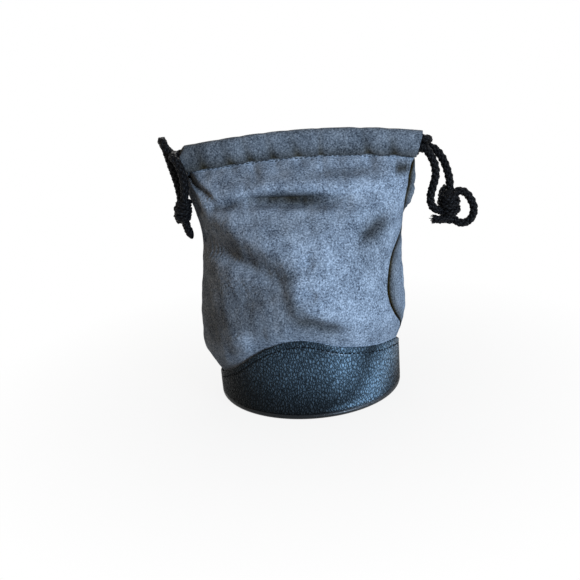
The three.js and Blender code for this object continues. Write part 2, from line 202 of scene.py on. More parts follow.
def turned_object(
    name: str, profile: Sequence[tuple[float, float]], sides: int, material: bpy.types.Material
) -> bpy.types.Object:
    """Turns a profile about the pouch's axis.

    Args:
        name: Name of the object.
        profile: Radius and level of each point, going round the section with the outside on the right.
        sides: Number of sides of the round.
        material: Finish of the piece.

    Returns:
        The new object.
    """
    vertices: list[Point] = []
    rings: list[list[int]] = []
    for radius, level in profile:
        if radius < TINY:
            vertices.append((0.0, 0.0, level))
            rings.append([len(vertices) - 1] * sides)
            continue
        start = len(vertices)
        for k in range(sides):
            angle = math.tau * k / sides
            vertices.append((radius * math.cos(angle), radius * math.sin(angle), level))
        rings.append(list(range(start, start + sides)))
    faces: list[list[int]] = []
    closed = profile[0][0] > TINY
    pairs = list(zip(rings, rings[1:] + rings[:1])) if closed else list(zip(rings, rings[1:]))
    for lower, upper in pairs:
        for k in range(sides):
            n = (k + 1) % sides
            corners = [lower[k], lower[n], upper[n], upper[k]]
            faces.append([c for i, c in enumerate(corners) if c not in corners[:i]])
    return mesh_object(name, np.array(vertices), faces, material)


def tube_mesh(route: np.ndarray, radii: Sequence[float], sides: int) -> tuple[np.ndarray, list[list[int]]]:
    """Closed tube along a route.

    Args:
        route: Places along the tube's middle.
        radii: Radius at each place.
        sides: Number of sides.

    Returns:
        The tube's vertices and faces.
    """
    ways = np.gradient(route, axis=0)
    ways /= np.linalg.norm(ways, axis=1, keepdims=True)
    aside = np.cross(ways[0], np.array(CROSS_WAY))
    rings = []
    for place, way, radius in zip(route, ways, radii):
        aside = aside - way * (aside @ way)
        aside /= np.linalg.norm(aside)
        other = np.cross(way, aside)
        for k in range(sides):
            angle = math.tau * k / sides
            rings.append(place + radius * (math.cos(angle) * aside + math.sin(angle) * other))
    faces = []
    for i in range(len(route) - 1):
        for k in range(sides):
            n = (k + 1) % sides
            lower, upper = i * sides, (i + 1) * sides
            faces.append([lower + k, lower + n, upper + n, upper + k])
    faces.append(list(range(sides))[::-1])
    faces.append([(len(route) - 1) * sides + k for k in range(sides)])
    return np.array(rings), faces


def rounded_slab(radius: float, bottom: float, top: float, edge: float) -> list[tuple[float, float]]:
    """Profile of a disc with rounded rims.

    Args:
        radius: Outside of the disc.
        bottom: Level of its underside.
        top: Level of its upper face.
        edge: Radius of its rims.

    Returns:
        Radius and level of each point, from the axis below to the axis above.
    """
    points = [(0.0, bottom), (radius / 2.0, bottom)]
    for level, start in ((bottom + edge, -math.pi / 2.0), (top - edge, 0.0)):
        for i in range(RIM_STEPS + 1):
            angle = start + math.pi / 2.0 * i / RIM_STEPS
            points.append((radius - edge + edge * math.cos(angle), level + edge * math.sin(angle)))
    return points + [(radius / 2.0, top), (0.0, top)]


class NodeGraph:
    """A node tree with short ways to add and join nodes."""

    def __init__(self, tree: bpy.types.NodeTree) -> None:
        """Keeps the tree."""
        self.tree = tree

    def join(self, start: bpy.types.NodeSocket, end: bpy.types.NodeSocket) -> None:
        """Links an output to an input."""
        self.tree.links.new(start, end)

    def feed(self, node: bpy.types.Node, inputs: dict[object, object]) -> None:
        """Feeds inputs of a node.

        Args:
            node: The node.
            inputs: Output or plain value for each input, by name or number.
        """
        for key, value in inputs.items():
            if isinstance(value, bpy.types.NodeSocket):
                self.join(value, node.inputs[key])
            else:
                node.inputs[key].default_value = value

    def add(
        self, kind: str, inputs: Optional[dict[object, object]] = None, **values: object
    ) -> bpy.types.Node:
        """Adds a node, sets its properties and feeds its inputs.

        Args:
            kind: Type of the node.
            inputs: Output or plain value for each input, by name or number.
            **values: Properties of the node.

        Returns:
            The new node.
        """
        node = self.tree.nodes.new(kind)
        for key, value in values.items():
            setattr(node, key, value)
        self.feed(node, inputs or {})
        return node

    def math(self, operation: str, *terms: object) -> bpy.types.NodeSocket:
        """Adds a math node and gives its output."""
        return self.add("ShaderNodeMath", dict(enumerate(terms)), operation=operation).outputs[0]

    def vector(self, operation: str, *terms: object) -> bpy.types.NodeSocket:
        """Adds a vector math node and gives its output."""
        return self.add("ShaderNodeVectorMath", dict(enumerate(terms)), operation=operation).outputs[0]


class Shader(NodeGraph):
    """A material's or shader group's tree."""

    def held(self, value: bpy.types.NodeSocket) -> bpy.types.NodeSocket:
        """Holds a value between 0 and 1."""
        return self.math("MINIMUM", self.math("MAXIMUM", value, 0.0), 1.0)

    def blend_colours(self, share: object, first: object, second: object) -> bpy.types.NodeSocket:
        """Mixes two colours by a share of the second."""
        return self.add("ShaderNodeMix", {0: share, 6: first, 7: second}, data_type="RGBA").outputs[2]

    def noise(
        self, place: bpy.types.NodeSocket, scale: object, detail: float, roughness: float
    ) -> bpy.types.NodeSocket:
        """Adds noise with some features in a metre, finer layers and strength of those layers."""
        sizes = {"Scale": scale, "Detail": detail, "Roughness": roughness}
        return self.add("ShaderNodeTexNoise", {"Vector": place, **sizes}).outputs[0]


def new_group(name: str, inputs: dict[str, tuple[str, object]], outputs: dict[str, str]) -> Shader:
    """Starts a shader node group with named sockets.

    Args:
        name: Name of the group.
        inputs: Type and usual value of each input.
        outputs: Type of each output.

    Returns:
        The group's tree, with its input and output nodes.
    """
    tree = bpy.data.node_groups.new(name, "ShaderNodeTree")
    for label, (kind, value) in inputs.items():
        socket = tree.interface.new_socket(label, in_out="INPUT", socket_type=kind)
        socket.default_value = value
    for label, kind in outputs.items():
        tree.interface.new_socket(label, in_out="OUTPUT", socket_type=kind)
    tree.nodes.new("NodeGroupInput")
    tree.nodes.new("NodeGroupOutput")
    return Shader(tree)


def nap_group() -> bpy.types.NodeTree:
    """Builds the brushed nap that cloth, cord and lining share.

    Returns:
        The group. Its outputs are a speckled colour and a height for bump.
    """
    shader = new_group(
        "brushed_nap",
        {
            "Colour": ("NodeSocketColor", (0.5, 0.5, 0.5, 1.0)),
            "Light Fibre": ("NodeSocketColor", (0.7, 0.7, 0.7, 1.0)),
            "Dark Fibre": ("NodeSocketColor", (0.2, 0.2, 0.2, 1.0)),
            "Fibres per Metre": ("NodeSocketFloat", 1000.0),
            "Patch Strength": ("NodeSocketFloat", 0.3),
        },
        {"Colour": "NodeSocketColor", "Height": "NodeSocketFloat"},
    )
    light_above = 0.52
    dark_below = 0.46
    contrast = 7.0
    patches_per_fibre = 0.09
    given = shader.tree.nodes["Group Input"].outputs
    place = shader.add("ShaderNodeTexCoord").outputs["Object"]
    fine = shader.noise(place, given["Fibres per Metre"], detail=1.5, roughness=0.7)
    patches = shader.math("MULTIPLY", given["Fibres per Metre"], patches_per_fibre)
    coarse = shader.noise(place, patches, detail=5.0, roughness=0.65)
    patch = shader.math("MULTIPLY", shader.math("SUBTRACT", coarse, 0.5), given["Patch Strength"])
    brushed = shader.math("SUBTRACT", fine, patch)
    light = shader.held(shader.math("MULTIPLY", shader.math("SUBTRACT", brushed, light_above), contrast))
    dark = shader.held(shader.math("MULTIPLY", shader.math("SUBTRACT", dark_below, brushed), contrast))
    colour = shader.blend_colours(light, given["Colour"], given["Light Fibre"])
    colour = shader.blend_colours(dark, colour, given["Dark Fibre"])
    # painted shade from the cloth's attribute darkens the colour, blue the most
    shade = shader.add("ShaderNodeAttribute", attribute_name=PAINTED_SHADE_ATTRIBUTE).outputs["Fac"]
    kept = shader.vector("MULTIPLY_ADD", shade, [-loss for loss in PAINTED_SHADE_LOSS], (1.0, 1.0, 1.0))
    kept = shader.vector("MAXIMUM", kept, (0.0, 0.0, 0.0))
    out = shader.tree.nodes["Group Output"].inputs
    shader.join(shader.vector("MULTIPLY", colour, kept), out["Colour"])
    shader.join(fine, out["Height"])
    return shader.tree


def grain_group() -> bpy.types.NodeTree:
    """Builds the pebbled grain of the leather.

    Returns:
        The group. Its outputs are the height of the pebbles and a mask of the furrows between them.
    """
    shader = new_group(
        "pebbled_grain",
        {
            "Pebbles per Metre": ("NodeSocketFloat", 800.0),
            "Unevenness": ("NodeSocketFloat", 0.4),
        },
        {"Height": "NodeSocketFloat", "Furrow": "NodeSocketFloat"},
    )
    pebble_stretch = (1.0, 1.0, 0.58)
    wander_per_metre = 420.0
    wander_reach = 1.4 * MM
    dome_steepness = 2.5
    dome_power = 0.7
    swells_per_metre = 260.0
    given = shader.tree.nodes["Group Input"].outputs
    place = shader.add("ShaderNodeTexCoord").outputs["Object"]
    stretch = shader.add("ShaderNodeMapping", {"Vector": place, "Scale": pebble_stretch})
    wander = shader.add(
        "ShaderNodeTexNoise", {"Vector": place, "Scale": wander_per_metre, "Detail": 2.0}
    )
    centred = shader.vector("SUBTRACT", wander.outputs["Color"], (0.5, 0.5, 0.5))
    pushed = shader.vector("MULTIPLY_ADD", centred, [wander_reach] * 3, stretch.outputs[0])
    cells = shader.add(
        "ShaderNodeTexVoronoi", {"Vector": pushed, "Scale": given["Pebbles per Metre"]},
        feature="DISTANCE_TO_EDGE",
    )
    dome = shader.math("MINIMUM", shader.math("MULTIPLY", cells.outputs[0], dome_steepness), 1.0)
    dome = shader.math("POWER", dome, dome_power)
    swell = shader.noise(place, swells_per_metre, detail=3.0, roughness=0.55)
    height = shader.math("ADD", dome, shader.math("MULTIPLY", swell, given["Unevenness"]))
    out = shader.tree.nodes["Group Output"].inputs
    shader.join(height, out["Height"])
    shader.join(shader.math("SUBTRACT", 1.0, dome), out["Furrow"])
    return shader.tree


@dataclass(frozen=True)
class NapFinish:
    """Cloth, cord or lining with a brushed nap."""

    name: str
    colour: Point
    light_fibre: Point
    dark_fibre: Point
    fibres_per_metre: float
    patch_strength: float
    roughness: float
    gloss: float
    bump_depth: float
    bump_strength: float = 0.6
    sheen: float = 0.0
    sheen_roughness: float = 0.5

    def material(self, nap: bpy.types.NodeTree) -> bpy.types.Material:
        """Builds the material.

        Args:
            nap: Shared group of the brushed nap.

        Returns:
            The material.
        """
        made = bpy.data.materials.new(self.name)
        made.use_nodes = True
        shader = Shader(made.node_tree)
        fibres = {
            "Colour": (*self.colour, 1.0), "Light Fibre": (*self.light_fibre, 1.0),
            "Dark Fibre": (*self.dark_fibre, 1.0), "Fibres per Metre": self.fibres_per_metre,
            "Patch Strength": self.patch_strength,
        }
        group = shader.add("ShaderNodeGroup", fibres, node_tree=nap)
        relief = {"Strength": self.bump_strength, "Distance": self.bump_depth * MM}
        bump = shader.add("ShaderNodeBump", {**relief, "Height": group.outputs["Height"]})
        shader.feed(shader.tree.nodes["Principled BSDF"], {
            "Base Color": group.outputs["Colour"], "Normal": bump.outputs[0], "Roughness": self.roughness,
            "Specular IOR Level": self.gloss, "Sheen Weight": self.sheen,
            "Sheen Roughness": self.sheen_roughness,
        })
        return made


@dataclass(frozen=True)
class GlossAndPaintedSheenPatch:
    """A patch on the front of the leather with a glossier coat and a painted highlight, with its middle
    given by x and z.

    Lean turns its long way from upright to the right, the reaches are half its width and length, and
    the last field is how strong its gloss and painted highlight are.
    """

    x: float
    z: float
    lean: float
    across: float
    along: float
    gloss_and_sheen_weight: float

    def mask(
        self, shader: Shader, x: bpy.types.NodeSocket, z: bpy.types.NodeSocket
    ) -> bpy.types.NodeSocket:
        """Bell over the patch.

        Args:
            shader: Tree of the material.
            x: Places to the right, in metres.
            z: Heights of the places, in metres.

        Returns:
            The mask.
        """
        lean = math.radians(self.lean)
        right = shader.math("SUBTRACT", x, self.x * MM)
        up = shader.math("SUBTRACT", z, self.z * MM)
        squares = []
        for by_right, by_up, reach in (
            (math.cos(lean), -math.sin(lean), self.across), (math.sin(lean), math.cos(lean), self.along),
        ):
            part = shader.math("MULTIPLY", up, by_up / (reach * MM))
            part = shader.math("MULTIPLY_ADD", right, by_right / (reach * MM), part)
            squares.append(shader.math("MULTIPLY", part, part))
        bell = shader.math("POWER", math.e, shader.math("MULTIPLY", shader.math("ADD", *squares), -1.0))
        return shader.math("MULTIPLY", bell, self.gloss_and_sheen_weight)


@dataclass(frozen=True)
class LeatherFinish:
    """Pebbled black leather with a soft sheen, and patches of glossier coat with a painted highlight."""

    name: str
    colour: Point
    furrow_colour: Point
    pebbles_per_metre: float
    unevenness: float
    roughness: float
    furrow_roughness: float
    gloss: float
    bump_depth: float
    painted_sheen_colour: Point
    polish: float
    gloss_and_painted_sheen: tuple[GlossAndPaintedSheenPatch, ...]
    bump_strength: float = 0.9

    def gloss_and_sheen_mask(self, shader: Shader) -> bpy.types.NodeSocket:
        """Mask of the patches of gloss and painted highlight, which are all on the front.

        Args:
            shader: Tree of the material.

        Returns:
            The mask.
        """
        split = shader.add("ShaderNodeSeparateXYZ")
        shader.join(shader.add("ShaderNodeTexCoord").outputs["Object"], split.inputs[0])
        x, y, z = split.outputs
        total = self.gloss_and_painted_sheen[0].mask(shader, x, z)
        for patch in self.gloss_and_painted_sheen[1:]:
            total = shader.math("MAXIMUM", total, patch.mask(shader, x, z))
        return shader.math("MULTIPLY", total, shader.math("LESS_THAN", y, 0.0))

    def material(self, grain: bpy.types.NodeTree) -> bpy.types.Material:
        """Builds the material.

        Args:
            grain: Shared group of the pebbled grain.

        Returns:
            The material.
        """
        made = bpy.data.materials.new(self.name)
        made.use_nodes = True
        shader = Shader(made.node_tree)
        pebbles = {"Pebbles per Metre": self.pebbles_per_metre, "Unevenness": self.unevenness}
        group = shader.add("ShaderNodeGroup", pebbles, node_tree=grain)
        furrow = group.outputs["Furrow"]
        gloss_and_sheen = self.gloss_and_sheen_mask(shader)
        # painted highlight: the top colour turns to the lighter, bluer sheen colour on the patches
        top = shader.blend_colours(gloss_and_sheen, (*self.colour, 1.0), (*self.painted_sheen_colour, 1.0))
        polished = shader.math("MULTIPLY", gloss_and_sheen, shader.math("SUBTRACT", 1.0, furrow))
        dull = shader.math("MULTIPLY_ADD", furrow, self.furrow_roughness - self.roughness, self.roughness)
        relief = {"Strength": self.bump_strength, "Distance": self.bump_depth * MM}
        bump = shader.add("ShaderNodeBump", {**relief, "Height": group.outputs["Height"]})
        # the furrows take the darker furrow colour: painted shade in the recesses between the pebbles
        shader.feed(shader.tree.nodes["Principled BSDF"], {
            "Base Color": shader.blend_colours(furrow, top, (*self.furrow_colour, 1.0)),
            "Coat Weight": shader.math("MULTIPLY", polished, self.polish), "Normal": bump.outputs[0],
            "Roughness": dull, "Coat Roughness": self.roughness, "Specular IOR Level": self.gloss,
        })
        return made


SUEDE = NapFinish(
    "suede_cloth", colour=(0.229, 0.266, 0.314), light_fibre=(0.438, 0.494, 0.564),
    dark_fibre=(0.078, 0.094, 0.12), fibres_per_metre=1150.0, patch_strength=0.55,
    roughness=0.95, gloss=0.05, bump_depth=0.4,
)
CORD = NapFinish(
    "braided_cord", colour=(0.0035, 0.0035, 0.004), light_fibre=(0.01, 0.01, 0.012),
    dark_fibre=(0.0015, 0.0015, 0.0015), fibres_per_metre=2600.0, patch_strength=0.2,
    roughness=0.4, gloss=0.06, bump_depth=0.1,
)
# thread of the hem's stitches, made dark partly as a painted shade of the stitch holes
THREAD = NapFinish(
    "sewing_thread", colour=(0.018, 0.022, 0.027), light_fibre=(0.03, 0.036, 0.044),
    dark_fibre=(0.008, 0.01, 0.012), fibres_per_metre=3000.0, patch_strength=0.1,
    roughness=0.7, gloss=0.1, bump_depth=0.05,
)
DARK_THREAD = NapFinish(
    "dark_thread", colour=(0.003, 0.004, 0.005), light_fibre=(0.008, 0.01, 0.012),
    dark_fibre=(0.002, 0.002, 0.003), fibres_per_metre=3000.0, patch_strength=0.1,
    roughness=0.6, gloss=0.05, bump_depth=0.05,
)
PLUSH = NapFinish(
    "plush_lining", colour=(0.05, 0.058, 0.072), light_fibre=(0.09, 0.1, 0.118),
    dark_fibre=(0.02, 0.024, 0.03), fibres_per_metre=1300.0, patch_strength=0.3,
    roughness=1.0, gloss=0.1, bump_depth=0.4, sheen=0.3,
)
FOAM = NapFinish(
    "open_foam", colour=(0.042, 0.045, 0.052), light_fibre=(0.07, 0.074, 0.082),
    dark_fibre=(0.012, 0.013, 0.015), fibres_per_metre=1600.0, patch_strength=0.3,
    roughness=1.0, gloss=0.1, bump_depth=0.5,
)
BOARD = NapFinish(
    "stiffening_board", colour=(0.15, 0.12, 0.09), light_fibre=(0.19, 0.155, 0.12),
    dark_fibre=(0.1, 0.08, 0.06), fibres_per_metre=700.0, patch_strength=0.3,
    roughness=0.85, gloss=0.3, bump_depth=0.08,
)
LEATHER = LeatherFinish(
    "pebbled_leather", colour=(0.02, 0.0215, 0.021), furrow_colour=(0.003, 0.004, 0.005),
    pebbles_per_metre=820.0, unevenness=0.5, roughness=0.3, furrow_roughness=0.6, gloss=0.02,
    bump_depth=0.8, painted_sheen_colour=(0.3, 0.475, 0.62), polish=1.0,
    # patches of glossier coat with a painted highlight, where the leather would reflect the light
    gloss_and_painted_sheen=(
        GlossAndPaintedSheenPatch(2.0, 30.0, 94.0, 17.0, 34.0, 0.35), GlossAndPaintedSheenPatch(34.5, 15.0, 30.0, 8.5, 26.0, 1.0),
        GlossAndPaintedSheenPatch(17.0, 29.0, 0.0, 11.5, 16.0, 0.8), GlossAndPaintedSheenPatch(25.0, 5.5, 86.0, 2.6, 13.0, 0.9),
    ),
)
PIPING = LeatherFinish(
    "smooth_leather", colour=(0.011, 0.012, 0.013), furrow_colour=(0.008, 0.009, 0.01),
    pebbles_per_metre=1400.0, unevenness=0.3, roughness=0.28, furrow_roughness=0.4, gloss=0.16,
    bump_depth=0.06, painted_sheen_colour=(0.12, 0.14, 0.16), polish=1.0,
    # a painted highlight line along the welt, with a glossier coat
    gloss_and_painted_sheen=(GlossAndPaintedSheenPatch(27.0, 3.0, 90.0, 1.2, 13.0, 1.0),),
)


class Finishes:
    """All the materials of the pouch."""

    def __init__(self) -> None:
        """Builds the shared groups and the materials."""
        nap = nap_group()
        self.suede = SUEDE.material(nap)
        self.cord = CORD.material(nap)
        self.thread = THREAD.material(nap)
        self.dark_thread = DARK_THREAD.material(nap)
        self.plush = PLUSH.material(nap)
        self.foam = FOAM.material(nap)
        self.board = BOARD.material(nap)
        grain = grain_group()
        self.leather = LEATHER.material(grain)
        self.piping = PIPING.material(grain)


class NodeRecipe(NodeGraph):
    """A geometry node tree with named inputs that turns a curve into a finished mesh."""

    def __init__(self, name: str, sizes: dict[str, tuple[str, float]]) -> None:
        """Starts the tree.

        Args:
            name: Name of the tree.
            sizes: Type and usual value of each size that can be set.
        """
        super().__init__(bpy.data.node_groups.new(name, "GeometryNodeTree"))
        self.tree.interface.new_socket("Curve", in_out="INPUT", socket_type="NodeSocketGeometry")
        for label, (kind, value) in sizes.items():
            socket = self.tree.interface.new_socket(label, in_out="INPUT", socket_type=kind)
            socket.default_value = value
        self.tree.interface.new_socket("Finish", in_out="INPUT", socket_type="NodeSocketMaterial")
        self.tree.interface.new_socket("Mesh", in_out="OUTPUT", socket_type="NodeSocketGeometry")
        self.given = self.tree.nodes.new("NodeGroupInput").outputs
        self.result = self.tree.nodes.new("NodeGroupOutput").inputs

    def end(self, geometry: bpy.types.NodeSocket) -> None:
        """Makes the result real, gives it its finish and puts it out.

        Args:
            geometry: What the recipe has made.
        """
        smooth = self.add("GeometryNodeSetShadeSmooth", {"Geometry": geometry})
        real = self.add("GeometryNodeRealizeInstances", {"Geometry": smooth.outputs[0]})
        dressed = self.add(
            "GeometryNodeSetMaterial", {"Geometry": real.outputs[0], "Material": self.given["Finish"]}
        )
        self.join(dressed.outputs[0], self.result["Mesh"])

    def run(
        self, name: str, routes: Sequence[np.ndarray], sizes: dict[str, float], finish: bpy.types.Material
    ) -> bpy.types.Object:
        """Runs the tree on some routes and keeps the result as a plain mesh.

        Args:
            name: Name of the piece.
            routes: Places along each route, in millimetres.
            sizes: Values for the tree's named inputs.
            finish: Material of the result.

        Returns:
            The finished piece.
        """
        curve = bpy.data.curves.new(name + "_route", "CURVE")
        curve.dimensions = "3D"
        for route in routes:
            spline = curve.splines.new("POLY")
            spline.points.add(len(route) - 1)
            places = np.ones((len(route), 4))
            places[:, :3] = np.asarray(route) * MM
            spline.points.foreach_set("co", places.ravel())
        holder = bpy.data.objects.new(name + "_route", curve)
        bpy.context.scene.collection.objects.link(holder)
        modifier = holder.modifiers.new("recipe", "NODES")
        modifier.node_group = self.tree
        values = {**sizes, "Finish": finish}
        for item in self.tree.interface.items_tree:
            if item.in_out == "INPUT" and item.name in values:
                modifier[item.identifier] = values[item.name]
        graph = bpy.context.evaluated_depsgraph_get()
        mesh = bpy.data.meshes.new_from_object(holder.evaluated_get(graph), depsgraph=graph)
        holder.modifiers.remove(modifier)
        bpy.data.objects.remove(holder)
        bpy.data.curves.remove(curve)
        mesh.name = name
        piece = bpy.data.objects.new(name, mesh)
        bpy.context.scene.collection.objects.link(piece)
        return piece


def braid_recipe() -> NodeRecipe:
    """Builds a round braid along a route.

    Half of the yarns wind each way round a core, and each passes over and under those that it meets.

    Returns:
        The recipe.
    """
    recipe = NodeRecipe(
        "round_braid",
        {
            "Cord Diameter": ("NodeSocketFloat", 0.0042),
            "Yarn Width": ("NodeSocketFloat", 0.0013),
            "Lay Length": ("NodeSocketFloat", 0.009),
            "Yarns Each Way": ("NodeSocketInt", 4),
            "Step": ("NodeSocketFloat", 0.0005),
        },
    )
    weave_rise = 0.22
    yarn_sides = 6
    core_sides = 10
    given = recipe.given
    even = recipe.add(
        "GeometryNodeResampleCurve", {"Curve": given["Curve"], "Length": given["Step"]}, mode="LENGTH"
    )
    yarn_count = recipe.math("MULTIPLY", given["Yarns Each Way"], 2.0)
    copies = recipe.add(
        "GeometryNodeDuplicateElements", {"Geometry": even.outputs[0], "Amount": yarn_count},
        domain="SPLINE",
    )
    number = copies.outputs["Duplicate Index"]
    way = recipe.math("MULTIPLY_ADD", recipe.math("MODULO", number, 2.0), -2.0, 1.0)
    slot = recipe.math("FLOOR", recipe.math("MULTIPLY", number, 0.5))
    turn = recipe.math("DIVIDE", math.tau, given["Yarns Each Way"])
    length = recipe.add("GeometryNodeSplineParameter").outputs["Length"]
    wound = recipe.math("MULTIPLY", recipe.math("DIVIDE", length, given["Lay Length"]), math.tau)
    angle = recipe.math("ADD", recipe.math("MULTIPLY", wound, way), recipe.math("MULTIPLY", slot, turn))
    weave = recipe.math("COSINE", recipe.math("MULTIPLY", wound, given["Yarns Each Way"]))
    rise = recipe.math("MULTIPLY", given["Yarn Width"], weave_rise)
    middle = recipe.math("SUBTRACT", recipe.math("MULTIPLY", given["Cord Diameter"], 0.5), rise)
    middle = recipe.math("MULTIPLY_ADD", given["Yarn Width"], -0.5, middle)
    radius = recipe.math("MULTIPLY_ADD", recipe.math("MULTIPLY", weave, way), rise, middle)
    normal = recipe.add("GeometryNodeInputNormal").outputs[0]
    tangent = recipe.add("GeometryNodeInputTangent").outputs[0]
    beside = recipe.vector("CROSS_PRODUCT", tangent, normal)
    parts = []
    for way_out, wave in ((normal, "COSINE"), (beside, "SINE")):
        reach = recipe.math("MULTIPLY", radius, recipe.math(wave, angle))
        part = recipe.add("ShaderNodeVectorMath", {0: way_out, "Scale": reach}, operation="SCALE")
        parts.append(part.outputs[0])
    offset = recipe.vector("ADD", *parts)
    wound_yarn = recipe.add("GeometryNodeSetPosition", {"Geometry": copies.outputs[0], "Offset": offset})
    section = recipe.add(
        "GeometryNodeCurvePrimitiveCircle",
        {"Resolution": yarn_sides, "Radius": recipe.math("MULTIPLY", given["Yarn Width"], 0.5)},
    )
    yarn = recipe.add(
        "GeometryNodeCurveToMesh",
        {"Curve": wound_yarn.outputs[0], "Profile Curve": section.outputs[0], "Fill Caps": True},
    )
    core_section = recipe.add(
        "GeometryNodeCurvePrimitiveCircle", {"Resolution": core_sides, "Radius": middle}
    )
    core = recipe.add(
        "GeometryNodeCurveToMesh",
        {"Curve": even.outputs[0], "Profile Curve": core_section.outputs[0], "Fill Caps": True},
    )
    both = recipe.add("GeometryNodeJoinGeometry")
    recipe.join(yarn.outputs[0], both.inputs[0])
    recipe.join(core.outputs[0], both.inputs[0])
    recipe.end(both.outputs[0])
    return recipe


def stitch_recipe() -> NodeRecipe:
    """Builds a row of stitches along a route.

    Returns:
        The recipe.
    """
    recipe = NodeRecipe(
        "stitch_row",
        {
            "Pitch": ("NodeSocketFloat", 0.0025),
            "Stitch Length": ("NodeSocketFloat", 0.0019),
            "Thread Width": ("NodeSocketFloat", 0.0006),
        },
    )
    given = recipe.given
    points = recipe.add(
        "GeometryNodeCurveToPoints", {"Curve": given["Curve"], "Length": given["Pitch"]}, mode="LENGTH"
    )
    bead = recipe.add("GeometryNodeMeshUVSphere", {"Segments": 8, "Rings": 6, "Radius": 0.5})
    size = recipe.add(
        "ShaderNodeCombineXYZ",
        {"X": given["Thread Width"], "Y": given["Thread Width"], "Z": given["Stitch Length"]},
    )
    shaped = recipe.add("GeometryNodeTransform", {"Geometry": bead.outputs[0], "Scale": size.outputs[0]})
    row = recipe.add(
        "GeometryNodeInstanceOnPoints",
        {
            "Points": points.outputs["Points"],
            "Instance": shaped.outputs[0],
            "Rotation": points.outputs["Rotation"],
        },
    )
    recipe.end(row.outputs[0])
    return recipe


@dataclass(frozen=True)
class Seam:
    """Sizes of a row of stitches, and how far its middle stands off the surface."""

    pitch: float
    length: float
    width: float
    proud: float = 0.12

    def sizes(self) -> dict[str, float]:
        """Sizes for the recipe's named inputs."""
        lengths = {"Pitch": self.pitch, "Stitch Length": self.length, "Thread Width": self.width}
        return {label: length * MM for label, length in lengths.items()}


